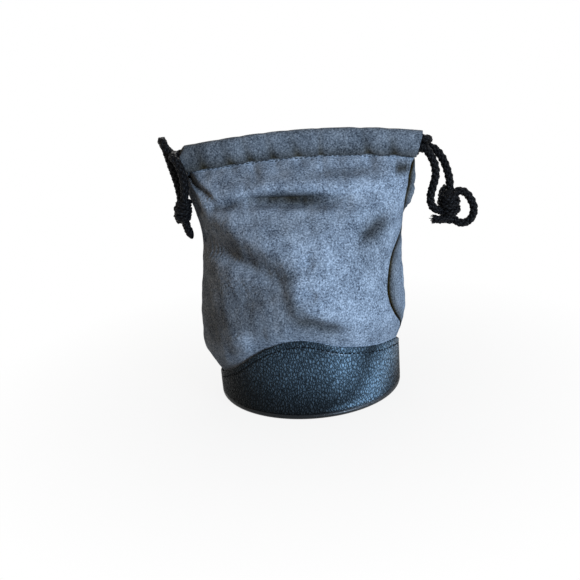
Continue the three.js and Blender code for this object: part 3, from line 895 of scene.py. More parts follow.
@dataclass
class LeatherCup:
    """Stiff round base with its layers and the leather band round it."""

    finishes: Finishes
    stitches: NodeRecipe
    base_radius: float = 50.0
    welt_radius: float = 1.5
    welt_level: float = 1.8
    welt_sides: int = 16
    floor_radius: float = 46.7
    bottom_thickness: float = 1.5
    bottom_rim: float = 0.5
    board_bottom: float = 1.8
    board_top: float = 3.8
    board_rim: float = 0.2
    pad_radius: float = 45.3
    pad_bottom: float = 4.1
    pad_top: float = 8.1
    pad_rim: float = 1.3
    pad_crown: float = 0.7
    lining_bottom: float = 8.4
    lining_top: float = 9.2
    lining_rim: float = 0.35
    stiffener_inside: float = 45.6
    stiffener_outside: float = 46.8
    stiffener_top: float = 28.1
    band_bottom: float = 3.6
    band_thickness: float = 1.4
    band_sides: int = 420
    band_rows: int = 40
    row_crowding: float = 1.6
    roll_rows: int = 9
    inner_rows: int = 5
    round_sides: int = 180
    seam: Seam = Seam(2.5, 1.9, 0.7)
    seam_depth: float = 3.3
    seam_groove: float = 0.4
    groove_reach: float = 0.55
    seam_samples: int = 720
    edge: tuple[tuple[float, float], ...] = (
        (-140.0, 23.0), (-95.0, 12.0), (-56.0, 22.7), (-23.0, 40.3), (-5.0, 44.0), (20.0, 38.0),
        (45.0, 33.2), (70.0, 28.9), (100.0, 20.8), (140.0, 22.0), (180.0, 29.0),
    )

    def edge_height(self, azimuth: np.ndarray) -> np.ndarray:
        """Height of the band's top edge.

        Args:
            azimuth: Angles from the front in radians, positive to the right.

        Returns:
            Heights in millimetres.
        """
        known = np.array(self.edge)
        places = np.concatenate([known[:, 0] - 360.0, known[:, 0], known[:, 0] + 360.0])
        heights = np.tile(known[:, 1], 3)[:, None]
        return curve_through(places, heights, np.degrees(azimuth))[..., 0]

    def band(self) -> bpy.types.Object:
        """Leather band with a rolled top edge and a groove under its stitches.

        Returns:
            The band.
        """
        azimuth = np.linspace(-math.pi, math.pi, self.band_sides, endpoint=False)
        top = self.edge_height(azimuth)
        half = self.band_thickness / 2.0
        rows: list[tuple[np.ndarray, np.ndarray]] = []
        for share in np.linspace(0.0, 1.0, self.band_rows):
            eased = 1.0 - (1.0 - share) ** self.row_crowding
            level = mix(self.band_bottom, top - half, eased)
            below = (top - level - self.seam_depth) / self.groove_reach
            rows.append((self.base_radius - self.seam_groove * np.exp(-(below**2)), level))
        for angle in np.linspace(0.0, math.pi, self.roll_rows)[1:]:
            radius = self.base_radius - half + half * math.cos(angle)
            rows.append((np.full_like(top, radius), top - half + half * math.sin(angle)))
        inside = np.full_like(top, self.base_radius - self.band_thickness)
        for share in np.linspace(0.0, 1.0, self.inner_rows)[1:]:
            rows.append((inside, mix(top - half, self.band_bottom, share)))
        vertices = np.concatenate(
            [np.stack([r * np.sin(azimuth), -r * np.cos(azimuth), z], axis=1) for r, z in rows]
        )
        faces = []
        count = self.band_sides
        for i in range(len(rows)):
            lower = i * count
            upper = ((i + 1) % len(rows)) * count
            for k in range(count):
                n = (k + 1) % count
                faces.append((lower + k, lower + n, upper + n, upper + k))
        return mesh_object("leather_band_skin", vertices, faces, self.finishes.leather)

    def band_stitches(self) -> bpy.types.Object:
        """Stitches in the groove below the band's edge.

        Returns:
            The stitches.
        """
        azimuth = np.linspace(-math.pi, math.pi, self.seam_samples)
        level = self.edge_height(azimuth) - self.seam_depth
        radius = self.base_radius - self.seam_groove + self.seam.proud
        route = np.stack([radius * np.sin(azimuth), -radius * np.cos(azimuth), level], axis=1)
        return self.stitches.run("band_stitches", [route], self.seam.sizes(), self.finishes.dark_thread)

    def welt(self) -> bpy.types.Object:
        """Rolled welt round the underside.

        Returns:
            The welt.
        """
        middle = self.base_radius - self.welt_radius
        profile = []
        for k in range(self.welt_sides):
            angle = math.tau * k / self.welt_sides
            level = self.welt_level + self.welt_radius * math.sin(angle)
            profile.append((middle + self.welt_radius * math.cos(angle), level))
        return turned_object("welt_roll", profile, 2 * self.round_sides, self.finishes.piping)

    def crowned_pad(self) -> list[tuple[float, float]]:
        """Profile of the pad, which is full in the middle and soft at its rim.

        Returns:
            Radius and level of each point.
        """
        profile = rounded_slab(self.pad_radius, self.pad_bottom, self.pad_top, self.pad_rim)
        half = (self.pad_bottom + self.pad_top) / 2.0
        crowned = []
        for radius, level in profile:
            sink = self.pad_crown * (radius / self.pad_radius) ** 4 if level > half else 0.0
            crowned.append((radius, level - sink))
        return crowned

    def build(self) -> list[bpy.types.Object]:
        """Builds the base and fixes it to the pouch.

        Returns:
            The pieces.
        """
        sides = self.round_sides
        bottom_profile = rounded_slab(self.floor_radius, 0.0, self.bottom_thickness, self.bottom_rim)
        bottom = turned_object("bottom_skin", bottom_profile, sides, self.finishes.leather)
        board_profile = rounded_slab(self.floor_radius, self.board_bottom, self.board_top, self.board_rim)
        board = turned_object("board_disc", board_profile, sides, self.finishes.board)
        pad = turned_object("pad_cushion", self.crowned_pad(), sides, self.finishes.foam)
        lining_profile = rounded_slab(
            self.pad_radius, self.lining_bottom, self.lining_top, self.lining_rim
        )
        lining = turned_object("floor_lining", lining_profile, sides, self.finishes.plush)
        wall_profile = [
            (self.stiffener_inside, self.pad_bottom), (self.stiffener_outside, self.pad_bottom),
            (self.stiffener_outside, self.stiffener_top), (self.stiffener_inside, self.stiffener_top),
        ]
        wall = turned_object("stiffener_wall", wall_profile, sides, self.finishes.board)
        band = self.band()
        welt = self.welt()
        sewing = self.band_stitches()
        stands_for = (
            (bottom, "bottom_panel", "leather"), (board, "base_board", "board"), (pad, "base_pad", "foam"),
            (lining, "base_lining", "lining"), (wall, "cup_stiffener", "board"),
            (band, "leather_band", "leather"), (welt, "bottom_welt", "leather"),
        )
        for piece, node, slot in stands_for:
            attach(piece, "pouch")
            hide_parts(node)
        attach(sewing, "pouch")
        return [piece for piece, _, _ in stands_for] + [sewing]


@dataclass(frozen=True)
class Fold:
    """A valley or roll in the cloth along a line, given by x and z seen from outside.

    Height is out of the cloth. The reaches are how far it spreads to the left and right of its line.
    Ends is the share of the line over which it tapers, and the last field is how much painted shade
    darkens the nap along the fold.
    """

    line: tuple[tuple[float, float], ...]
    height: float
    left_reach: float
    right_reach: float
    ends: float = 0.3
    painted_darkening: float = 0.0

    def strength(self, x: np.ndarray, z: np.ndarray) -> np.ndarray:
        """How strong the fold is at some places.

        Args:
            x: Places to the right.
            z: Heights of the places.

        Returns:
            Shares of its full strength.
        """
        line = route_through(self.line, FOLD_STEP)
        along = np.gradient(line, axis=0)
        flat_x = x.ravel()
        flat_z = z.ravel()
        gap = (flat_x[:, None] - line[None, :, 0]) ** 2 + (flat_z[:, None] - line[None, :, 1]) ** 2
        near = gap.argmin(axis=1)
        way = along[near]
        distance = np.sqrt(gap[np.arange(len(near)), near])
        cross = way[:, 0] * (flat_z - line[near, 1]) - way[:, 1] * (flat_x - line[near, 0])
        aside = cross / np.maximum(distance * np.linalg.norm(way, axis=1), TINY)
        reach = mix(self.right_reach, self.left_reach, (aside + 1.0) / 2.0)
        share = near / (len(line) - 1)
        taper = smooth_step(share / self.ends) * smooth_step((1.0 - share) / self.ends)
        strength = np.exp(-((distance / reach) ** 2)) * mix(FOLD_END, 1.0, taper)
        return strength.reshape(x.shape)


# the sixth number of a fold, where given, is the painted shade that darkens the nap along it
FRONT_FOLDS: tuple[Fold, ...] = (
    # crease across the neck with the roll above it, and painted shade in the crease
    Fold(
        ((-33.0, 109.2), (-22.0, 110.8), (-8.0, 110.5), (6.0, 109.2), (24.0, 106.8)),
        -4.6, 2.3, 3.0, 0.3, 0.2,
    ),
    Fold(
        ((-35.0, 108.8), (-20.6, 110.6), (-8.0, 110.8), (6.0, 110.0), (25.0, 108.2)),
        0.0, 2.3, 1.6, 0.42, 0.8,
    ),
    Fold(((-30.0, 114.4), (-10.0, 115.6), (16.0, 113.8)), 2.4, 4.5, 3.2),
    Fold(((-47.0, 106.4), (-41.0, 107.6), (-31.0, 109.4)), -2.0, 1.3, 2.4, 0.3, 0.45),
    # crease from the left end of the hem and the gusset below it
    Fold(((-58.0, 124.5), (-53.4, 119.0), (-47.4, 114.3), (-43.0, 110.0)), -3.4, 1.5, 3.4, 0.3, 0.5),
    Fold(((-60.0, 117.0), (-55.0, 109.0), (-51.0, 100.0)), -3.2, 3.0, 8.0),
    # slanted valley on the left, deep at the side, with the roll above it and painted shade along it
    Fold(
        ((-54.0, 85.0), (-41.2, 84.6), (-30.0, 81.8), (-19.7, 79.0), (-7.0, 76.0)),
        -5.0, 6.5, 3.6, 0.3, 0.2,
    ),
    Fold(((-54.0, 91.0), (-43.0, 90.5), (-32.0, 86.0)), -2.6, 7.0, 6.0),
    Fold(
        ((-54.0, 88.6), (-39.0, 88.6), (-28.0, 85.0), (-18.6, 81.8), (-10.0, 79.6)),
        0.0, 5.4, 3.6, 0.2, 0.24,
    ),
    Fold(((-44.0, 105.0), (-40.9, 101.5), (-32.5, 96.6), (-18.9, 91.0), (-4.0, 83.0)), 2.2, 7.0, 4.5),
    # flat that faces left below the valley, and the ridge that ends it
    Fold(((-31.0, 78.0), (-29.0, 66.0), (-26.0, 55.0)), -4.4, 15.0, 13.0, 0.6),
    Fold(((-6.0, 82.0), (-5.0, 70.0), (-3.0, 60.0), (0.0, 54.5)), 2.8, 14.0, 4.0),
    # where the cloth turns under, above the band
    Fold(((-4.0, 60.0), (4.5, 58.0), (12.7, 54.8), (23.0, 48.5)), 2.4, 8.0, 3.2),
    Fold(((-10.0, 54.0), (1.0, 54.0), (9.0, 50.0), (18.0, 45.4)), -1.2, 4.4, 4.4, 0.3, 0.55),
    Fold(((-37.0, 49.0), (-33.5, 42.0), (-30.0, 34.0)), 2.0, 5.0, 6.0),
    Fold(((-24.0, 46.0), (-15.0, 48.5), (-7.0, 51.0)), 1.6, 5.0, 5.0),
    # dimples, with painted shade in the one on the right
    Fold(((-1.0, 71.0), (2.2, 69.5), (6.0, 67.4)), -1.8, 1.8, 3.0),
    Fold(((3.0, 88.0), (3.4, 80.5)), -1.6, 2.2, 2.6),
    Fold(((28.0, 89.8), (33.5, 93.2), (39.8, 97.4), (46.0, 101.8)), -5.0, 6.0, 2.9),
    Fold(((29.5, 88.0), (35.0, 91.4), (40.8, 95.4), (46.5, 99.0)), 0.0, 5.4, 5.0, 0.4, 0.5),
    # drawn cloth below the hem
    Fold(((6.0, 121.4), (24.0, 121.2), (43.0, 120.6)), -1.6, 1.8, 3.4, 0.3, 0.32),
    Fold(((49.5, 119.6), (53.8, 118.8), (58.0, 118.2)), -1.4, 3.2, 3.4, 0.25, 0.75),
    # painted shade where less light falls: left of the ridge, in broad patches and at the left end of the
    # hem
    Fold(
        ((-6.2, 84.0), (-5.6, 79.0), (-6.0, 72.0), (-5.4, 65.0), (-1.5, 60.6), (4.5, 57.5)),
        0.0, 1.6, 15.0, 0.25, 0.36,
    ),
    Fold(((-34.0, 74.0), (-33.0, 60.0), (-34.0, 44.0)), 0.0, 13.0, 13.0, 0.3, 0.36),
    Fold(((-46.0, 58.0), (-45.0, 48.0), (-42.0, 38.0)), 0.0, 6.0, 9.0, 0.3, 0.26),
    Fold(((-32.0, 48.0), (-24.0, 51.0), (-13.0, 55.0)), 0.0, 6.0, 6.0, 0.3, 0.2),
    Fold(((-28.0, 100.0), (0.0, 100.5), (20.0, 99.0)), 0.0, 7.0, 7.0, 0.4, 0.15),
    Fold(((40.0, 112.0), (35.0, 90.0), (37.0, 62.0)), 0.0, 12.0, 12.0, 0.4, 0.22),
    Fold(((-64.0, 129.0), (-50.0, 131.0), (-40.0, 132.0)), 0.0, 9.0, 9.0, 0.4, 0.26),
)

BACK_FOLDS: tuple[Fold, ...] = (
    # fullness behind the right seam of the neck
    Fold(((-56.5, 93.5), (-58.5, 99.0), (-60.0, 104.5), (-61.0, 110.0)), 3.2, 5.5, 5.5, 0.4),
    Fold(((-24.0, 108.6), (-8.0, 110.6), (12.0, 111.0), (32.0, 109.6)), -3.6, 1.9, 4.6),
    Fold(((-20.0, 115.4), (4.0, 116.2), (30.0, 115.2)), 2.0, 4.5, 3.0),
    Fold(((-52.0, 116.0), (-44.0, 112.0), (-36.0, 106.0)), -2.4, 2.0, 3.4),
    Fold(((8.0, 82.0), (24.0, 87.0), (42.0, 90.0)), -3.8, 7.0, 5.0),
    Fold(((-40.0, 92.0), (-26.0, 84.0), (-16.0, 72.0)), -3.2, 5.0, 7.0),
    Fold(((6.0, 80.0), (2.0, 66.0), (6.0, 50.0)), 2.0, 7.0, 10.0),
    Fold(((24.0, 62.0), (36.0, 54.0), (44.0, 44.0)), -1.8, 4.0, 5.0),
)

FOLDS: dict[Side, tuple[Fold, ...]] = {Side.FRONT: FRONT_FOLDS, Side.BACK: BACK_FOLDS}


@dataclass(frozen=True)
class Pucker:
    """A short slanted pinch in the hem: its place at the stitches and at the crown."""

    foot: float
    crown: float
    height: float
    reach: float

    def strength(self, x: np.ndarray, share: np.ndarray) -> np.ndarray:
        """Share of its full strength at places to the right and shares of the hem's height."""
        return np.exp(-(((x - mix(self.foot, self.crown, share)) / self.reach) ** 2))


PUCKERS: dict[Side, tuple[Pucker, ...]] = {
    Side.FRONT: (
        Pucker(-46.0, -50.0, -0.5, 2.6), Pucker(-32.0, -38.0, -0.7, 2.4), Pucker(-22.0, -27.0, -1.2, 2.0),
        Pucker(-10.5, -15.0, -1.2, 2.0), Pucker(2.0, -3.0, -0.9, 2.2), Pucker(13.2, 12.0, -1.1, 1.3),
        Pucker(26.0, 28.0, 0.4, 2.8), Pucker(37.5, 33.5, -1.3, 2.2), Pucker(44.0, 42.5, 0.5, 2.6),
        Pucker(50.4, 48.0, -0.8, 2.4),
    ),
    Side.BACK: (
        Pucker(-48.0, -45.0, -0.4, 2.0), Pucker(-33.0, -36.0, -0.5, 1.8), Pucker(-19.0, -16.0, -0.3, 2.2),
        Pucker(-4.0, -7.0, -0.6, 1.6), Pucker(11.0, 13.0, -0.4, 2.0), Pucker(25.0, 22.0, -0.6, 1.6),
        Pucker(41.0, 45.0, -0.5, 1.8),
    ),
}


@dataclass(frozen=True)
class Ripple:
    """Slight unevenness of the cloth from two crossing waves.

    Each wave has its rates along x and z, and its start.
    """

    height: float
    first: Point
    second: Point

    def lift(self, x: np.ndarray, z: np.ndarray) -> np.ndarray:
        """Lift of the cloth at some places.

        Args:
            x: Places to the right.
            z: Heights of the places.

        Returns:
            Lift out of the cloth.
        """
        total = np.full_like(x, self.height)
        for along_x, along_z, start in (self.first, self.second):
            total = total * np.sin(along_x * x + along_z * z + start)
        return total


RIPPLES: tuple[Ripple, ...] = (
    Ripple(0.28, (0.31, 0.17, 1.3), (-0.11, 0.23, 0.0)),
    Ripple(0.16, (0.62, -0.37, 0.0), (0.29, 0.51, 0.7)),
)


@dataclass
class ClothTube:
    """Cloth of the body, the neck and the hem that is folded over the cords.

    Each section of the body has its level, width, depth and lean to the right. The seam's sway gives how
    many degrees the right seam lies before the side, by its share of the way up.
    """

    finishes: Finishes
    stitches: NodeRecipe
    cup: LeatherCup
    thickness: float = 1.2
    cup_radius: float = 48.3
    crease_width: float = 117.0
    crease_depth: float = 52.0
    crease_lean: float = 1.8
    crease_level: float = 110.0
    sections: tuple[tuple[float, float, float, float], ...] = (
        (0.0, 110.5, 109.0, -1.4), (45.0, 110.5, 109.0, -1.4), (93.0, 106.4, 86.0, 1.0),
        (crease_level, crease_width, crease_depth, crease_lean),
    )
    tuck_height: float = 20.0
    cup_share: float = 0.25
    seam_sway: tuple[tuple[float, float], ...] = (
        (0.0, 0.0), (0.25, 1.0), (0.3, 8.0), (0.39, 28.0), (0.5, 36.0), (0.62, 34.0), (0.72, 27.0),
        (0.79, 13.0), (0.845, 3.0), (0.88, 10.0), (0.93, 16.0), (1.0, 18.0), (1.15, 18.0), (1.3, 15.0),
        (1.42, 10.0), (1.5, 0.0),
    )
    height: float = 140.0
    mouth_width: float = 124.0
    mouth_lean: float = 3.0
    mouth_gap: float = 1.0
    mouth_swing: float = 5.0
    swing_start: float = -28.0
    swing_end: float = -59.0
    swing_limit: float = 1.1
    hem_sag: float = 5.0
    hem_height: float = 13.6
    hem_thickness: float = 7.2
    hem_taper: float = 2.2
    right_taper: float = 4.0
    hem_step: float = 0.7
    step_power: float = 6.0
    hem_puff: float = 0.35
    foot_rise: float = 0.4
    corner_drop: float = 4.0
    corner_reach: float = 3.6
    corner_power: float = 1.5
    back_drop: float = 1.8
    back_leanness: float = 0.6
    back_blend: float = 0.25
    neck_flatness: float = 0.24
    columns: int = 220
    seam_density: float = 0.6
    cup_rows: int = 8
    body_rows: int = 92
    neck_rows: int = 26
    face_rows: int = 14
    face_crowding: float = 1.3
    fold_rows: int = 10
    ply_rows: int = 18
    ply_turn: float = 0.72
    ply_rise: float = 1.0
    ply_gap: float = 2.6
    fold_gap: float = 1.0
    fold_rise: float = 7.0
    inner_calm: float = 0.6
    inner_fade: float = 6.0
    seam_pinch: float = 2.6
    seam_reach: float = 0.85
    seam_fade: float = 6.0
    # painted shade in the nap's colour: the right seam's slit, the strip beside it on the back, the hem
    # towards its foot and its puckers
    painted_seam_shade: float = 0.95
    slit_reach: float = 1.6
    painted_strip_shade: float = 0.6
    strip_reach: float = 11.0
    painted_hem_shade: float = 0.43
    painted_foot_shade: float = 0.68
    foot_reach: float = 0.55
    painted_pucker_shade: float = 0.55
    pucker_fade: float = 0.55
    pucker_reach: float = 6.0
    hem_seam: Seam = Seam(2.5, 1.8, 0.5)
    seam_inset: int = 8
    bend_way: Point = (1.0, 0.8, 0.9)
    bend_reach: float = 30.0

    @property
    def wall_rows(self) -> int:
        """Number of rows of the cloth below the hem."""
        return self.cup_rows + self.body_rows + 1 + self.neck_rows

    def drop(self, side: Side) -> float:
        """How far the hem of one half hangs below the front one."""
        return self.back_drop if side is Side.BACK else 0.0

    def crown(self, x: np.ndarray, drop: np.ndarray) -> np.ndarray:
        """Level of the crown of a hem that hangs by some drop."""
        share = (x - self.mouth_lean) / (self.mouth_width / 2.0)
        return self.height - drop - self.hem_sag * share**2

    def taper(self, azimuth: np.ndarray) -> np.ndarray:
        """How far the foot of the hem is drawn in from each end."""
        return mix(self.hem_taper, self.right_taper, smooth_step(np.sin(azimuth)))

    def swing(self, x: np.ndarray) -> np.ndarray:
        """How far the mouth's line swings back towards its left end."""
        share = np.clip((x - self.swing_start) / (self.swing_end - self.swing_start), 0.0, self.swing_limit)
        return self.mouth_swing * share**2

    def azimuths(self, side: Side, up: float) -> np.ndarray:
        """Angles of the columns from seam to seam, with the columns closer at the seams.

        The middle column stays in the middle of the half, where its two quarters meet.

        Args:
            side: Half of the cloth.
            up: Share of the panel's height, and past 1 the half share of the neck's.

        Returns:
            Angles from the front in radians, positive to the right.
        """
        known = np.array(self.seam_sway)
        sway = float(curve_through(known[:, 0], known[:, 1:], np.array(up))[0])
        right = math.pi / 2.0 - math.radians(sway)
        share = np.linspace(0.0, 1.0, self.columns + 1)
        share = share - self.seam_density * np.sin(math.tau * share) / math.tau
        if side is Side.FRONT:
            return np.interp(share, (0.0, 0.5, 1.0), (-math.pi / 2.0, 0.0, right))
        return np.interp(share, (0.0, 0.5, 1.0), (right, math.pi, 1.5 * math.pi))

    def body_row(self, side: Side, up: float) -> np.ndarray:
        """Places of one row of the body's panel.

        Args:
            side: Half of the cloth.
            up: Share of the panel's height, counted as in the cup and then above the band.

        Returns:
            One place for each column.
        """
        azimuth = self.azimuths(side, up)
        edge = self.cup.edge_height(azimuth)
        if up <= self.cup_share:
            level = mix(self.cup.band_bottom, edge, up / self.cup_share)
        else:
            level = mix(edge, self.crease_level, (up - self.cup_share) / (1.0 - self.cup_share))
        known = np.array(self.sections)
        width, depth, lean = curve_through(known[:, 0], known[:, 1:], level).T
        swell = np.sin(np.clip((level - edge) / self.tuck_height, 0.0, 1.0) * math.pi / 2.0)
        half_width = mix(self.cup_radius, width / 2.0, swell)
        half_depth = mix(self.cup_radius, depth / 2.0, swell)
        x = lean * swell + half_width * np.sin(azimuth)
        return np.stack([x, -half_depth * np.cos(azimuth), level], axis=1)

    def neck_row(self, side: Side, rise: float) -> np.ndarray:
        """Places of one row of the neck, which closes from an oval to a flat strip.

        Args:
            side: Half of the cloth.
            rise: Share of the way from the crease to the hem.

        Returns:
            One place for each column.
        """
        azimuth = self.azimuths(side, 1.0 + rise / 2.0)
        facing = -np.cos(azimuth)
        half_width = mix(self.crease_width / 2.0, self.mouth_width / 2.0 - self.taper(azimuth), rise)
        far = self.mouth_gap / 2.0 + self.hem_thickness - self.hem_step
        backness = smooth_step(facing / self.back_blend)
        fullness = max(math.cos(rise * math.pi / 2.0), 0.0) ** mix(1.0, self.back_leanness, backness)
        depth = mix(far, self.crease_depth / 2.0, fullness)
        flat = np.sign(facing) * np.abs(facing) ** mix(1.0, self.neck_flatness, rise)
        x = mix(self.crease_lean, self.mouth_lean, rise) + half_width * np.sin(azimuth)
        y = depth * flat + self.swing(x) * rise**2
        foot = self.crown(x, self.back_drop * backness) - self.hem_height
        return np.stack([x, y, mix(self.crease_level, foot, rise)], axis=1)

    def hem_row(self, side: Side, away: float, below: float) -> np.ndarray:
        """Places of one row of the hem.

        Args:
            side: Half of the cloth.
            away: Distance from the middle of the mouth.
            below: Distance below the crown.

        Returns:
            One place for each column.
        """
        azimuth = self.azimuths(side, 1.5)
        share = below / self.hem_height
        half = self.mouth_width / 2.0 - self.taper(azimuth) * share
        x = self.mouth_lean + half * np.sin(azimuth)
        y = side.value * away + self.swing(x)
        inset = np.clip((self.swing_end + self.corner_reach - x) / self.corner_reach, 0.0, 1.0)
        drop = self.corner_drop * inset**self.corner_power * (1.0 - share)
        return np.stack([x, y, self.crown(x, self.drop(side)) - below - drop], axis=1)

    def hem_profile(self) -> list[tuple[float, float]]:
        """Section of the hem, up its outer face, over the crown and down the inner ply.

        Returns:
            Distance from the mouth's middle and distance below the crown of each point.
        """
        near = self.mouth_gap / 2.0
        far = near + self.hem_thickness
        radius = self.hem_thickness / 2.0
        points = []
        for share in np.linspace(0.0, 1.0, self.face_rows):
            bulge = self.hem_puff * math.sin(math.pi * share)
            bulge -= self.hem_step * (1.0 - share) ** self.step_power
            crowded = share**self.face_crowding
            points.append((far + bulge, mix(self.hem_height - self.foot_rise, radius, crowded)))
        for angle in np.linspace(0.0, math.pi, self.fold_rows + 1)[1:]:
            points.append((near + radius + radius * math.cos(angle), radius - radius * math.sin(angle)))
        for share in np.linspace(0.0, 1.0, self.ply_rows + 1)[1:]:
            turn = smooth_step((share - self.ply_turn) / (1.0 - self.ply_turn))
            away = near + turn * (self.hem_thickness - self.ply_gap)
            points.append((away, mix(radius, self.hem_height - self.ply_rise, share)))
        return points

    def smooth_face(self, side: Side) -> np.ndarray:
        """Outer face of one half, from the floor up over the hem, without its folds.

        Args:
            side: Half of the cloth.

        Returns:
            Grid of places: rows upwards, columns to the viewer's right as seen from outside.
        """
        rows = []
        for share in np.linspace(0.0, self.cup_share, self.cup_rows + 1)[:-1]:
            rows.append(self.body_row(side, float(share)))
        for share in np.linspace(self.cup_share, 1.0, self.body_rows + 1):
            rows.append(self.body_row(side, float(share)))
        for share in np.linspace(0.0, 1.0, self.neck_rows + 1)[1:]:
            rows.append(self.neck_row(side, float(share)))
        for away, below in self.hem_profile():
            rows.append(self.hem_row(side, away, below))
        return np.array(rows)

    def lift(self, side: Side, grid: np.ndarray) -> np.ndarray:
        """How far folds, puckers and seams lift the cloth of one half.

        Args:
            side: Half of the cloth.
            grid: Places of the smooth cloth.

        Returns:
            Lift of each place, along its normal.
        """
        x = grid[..., 0]
        z = grid[..., 2]
        turned = x if side is Side.FRONT else -x
        total = np.zeros_like(x)
        for fold in FOLDS[side]:
            total += fold.height * fold.strength(turned, z)
        for ripple in RIPPLES:
            total += ripple.lift(turned, z)
        edge = self.cup.edge_height(np.arctan2(x, -grid[..., 1]))
        total *= smooth_step((z - edge - self.fold_gap) / self.fold_rise)
        from_seams = [np.linalg.norm(grid - seam, axis=2) for seam in (grid[:, :1], grid[:, -1:])]
        for away in from_seams:
            total *= smooth_step(away / self.seam_fade)
        row = np.arange(len(grid))[:, None]
        is_hem = row >= self.wall_rows
        total = np.where(is_hem, 0.0, total)
        foot = self.crown(x, self.drop(side)) - self.hem_height
        share = (z - foot) / self.hem_height
        on_hem = 1.0 - self.pucker_fade * np.clip(share, 0.0, 1.0)
        fade = np.where(is_hem, on_hem, np.exp(-(((z - foot) / self.pucker_reach) ** 2)))
        for pucker in PUCKERS[side]:
            total += fade * pucker.height * pucker.strength(turned, share)
        past_face = row - self.wall_rows - self.face_rows
        total *= 1.0 - self.inner_calm * smooth_step(past_face / self.inner_fade)
        for away in from_seams:
            pinch = self.seam_pinch * np.exp(-((away / self.seam_reach) ** 2))
            total -= np.where(is_hem, 0.0, pinch)
        return total

    def shade(self, side: Side, grid: np.ndarray) -> np.ndarray:
        """Painted shade on the nap of one half: in its folds, on the hem, in the right seam and beside it.

        Args:
            side: Half of the cloth.
            grid: Places of the smooth cloth.

        Returns:
            Painted shade of each place, from 0 to 1.
        """
        x = grid[..., 0]
        turned = x if side is Side.FRONT else -x
        light = np.ones_like(x)
        for fold in FOLDS[side]:
            light *= 1.0 - fold.painted_darkening * fold.strength(turned, grid[..., 2])
        foot = self.crown(x, self.drop(side)) - self.hem_height
        share = np.clip((grid[..., 2] - foot) / self.hem_height, 0.0, 1.0)
        # painted shade on the hem: darker at its foot, and darker in its puckers towards the foot
        hem_light = 1.0 - mix(self.painted_foot_shade, self.painted_hem_shade, smooth_step(share / self.foot_reach))
        for pucker in PUCKERS[side]:
            if pucker.height < 0.0:
                hem_light *= 1.0 - self.painted_pucker_shade * (1.0 - share) * pucker.strength(turned, share)
        light[self.wall_rows:] *= hem_light[self.wall_rows:]
        right_seam = grid[:, -1:] if side is Side.FRONT else grid[:, :1]
        away = np.linalg.norm(grid - right_seam, axis=2)[:self.wall_rows]
        # painted shadow in the slit of the right seam, and on the back a painted shade on the strip beside
        # it
        light[:self.wall_rows] *= 1.0 - self.painted_seam_shade * np.exp(-((away / self.slit_reach) ** 2))
        if side is Side.BACK:
            light[:self.wall_rows] *= 1.0 - self.painted_strip_shade * np.exp(-((away / self.strip_reach) ** 2))
        return 1.0 - light

    def quarter_columns(self, side: Side, hand: Hand, inset: int = 0) -> slice:
        """Columns of one quarter of the cloth.

        Args:
            side: Half of the cloth.
            hand: Left or right quarter.
            inset: How many columns are left out at the seam.

        Returns:
            The columns.
        """
        middle = self.columns // 2
        if (hand is Hand.LEFT) == (side is Side.FRONT):
            return slice(inset, middle + 1)
        return slice(middle, self.columns + 1 - inset)

    def quarter(
        self, side: Side, hand: Hand, grid: np.ndarray, normals: np.ndarray, shade: np.ndarray
    ) -> bpy.types.Object:
        """Closed shell of one quarter of the cloth.

        Args:
            side: Half of the cloth.
            hand: Left or right quarter.
            grid: Outer face of the whole half.
            normals: Normals of that face.
            shade: Painted shade of the nap on that face.

        Returns:
            The quarter.
        """
        part = self.quarter_columns(side, hand)
        outer = grid[:, part]
        facing = normals[:, part]
        inner = outer - facing * self.thickness
        height, width = outer.shape[:2]
        vertices = np.concatenate([outer.reshape(-1, 3), inner.reshape(-1, 3)])
        shading = np.concatenate([facing.reshape(-1, 3), -facing.reshape(-1, 3)])
        number = np.arange(2 * height * width).reshape(2, height, width)
        a, b = number[0, :-1, :-1].ravel(), number[0, :-1, 1:].ravel()
        c, d = number[0, 1:, 1:].ravel(), number[0, 1:, :-1].ravel()
        under = height * width
        skin = np.concatenate([np.stack([a, b, c, d], axis=1), np.stack([b, a, d, c], axis=1) + under])
        rims = []
        for out_edge, in_edge in (
            (number[0, 0, ::-1], number[1, 0, ::-1]), (number[0, -1], number[1, -1]),
            (number[0, :, 0], number[1, :, 0]), (number[0, ::-1, -1], number[1, ::-1, -1]),
        ):
            rims.append(np.stack([out_edge[:-1], out_edge[1:], in_edge[1:], in_edge[:-1]], axis=1))
        rim = np.concatenate(rims)
        corners = vertices[rim]
        flat = np.cross(corners[:, 2] - corners[:, 0], corners[:, 3] - corners[:, 1])
        flat /= np.maximum(np.linalg.norm(flat, axis=1, keepdims=True), TINY)
        shades = np.concatenate([shading[skin].reshape(-1, 3), np.repeat(flat, 4, axis=0)])
        name = f"{side.name.lower()}_{hand.name.lower()}_cloth"
        faces = np.concatenate([skin, rim]).tolist()
        piece = mesh_object(name, vertices, faces, self.finishes.suede, shades)
        # the painted shade goes on the cloth as an attribute that darkens its colour
        darker = piece.data.attributes.new(PAINTED_SHADE_ATTRIBUTE, "FLOAT", "POINT")
        darker.data.foreach_set("value", np.tile(shade[:, part].ravel(), 2))
        return piece

    def bend(self, piece: bpy.types.Object, side: Side, hand: Hand) -> None:
        """Bakes the placement of a piece into its mesh.

        Args:
            piece: Piece of the cloth or of a cord in its hem.
            side: Not used.
            hand: Not used.
        """
        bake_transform(piece)

    def stitch_route(self, side: Side, hand: Hand, grid: np.ndarray, normals: np.ndarray) -> np.ndarray:
        """Line of the hem's stitches on one quarter, on the cloth just below the hem.

        Args:
            side: Half of the cloth.
            hand: Left or right quarter.
            grid: Outer face of the whole half.
            normals: Normals of that face.

        Returns:
            Places along the line.
        """
        row = self.wall_rows - 1
        part = self.quarter_columns(side, hand, self.seam_inset)
        return grid[row, part] + normals[row, part] * self.hem_seam.proud

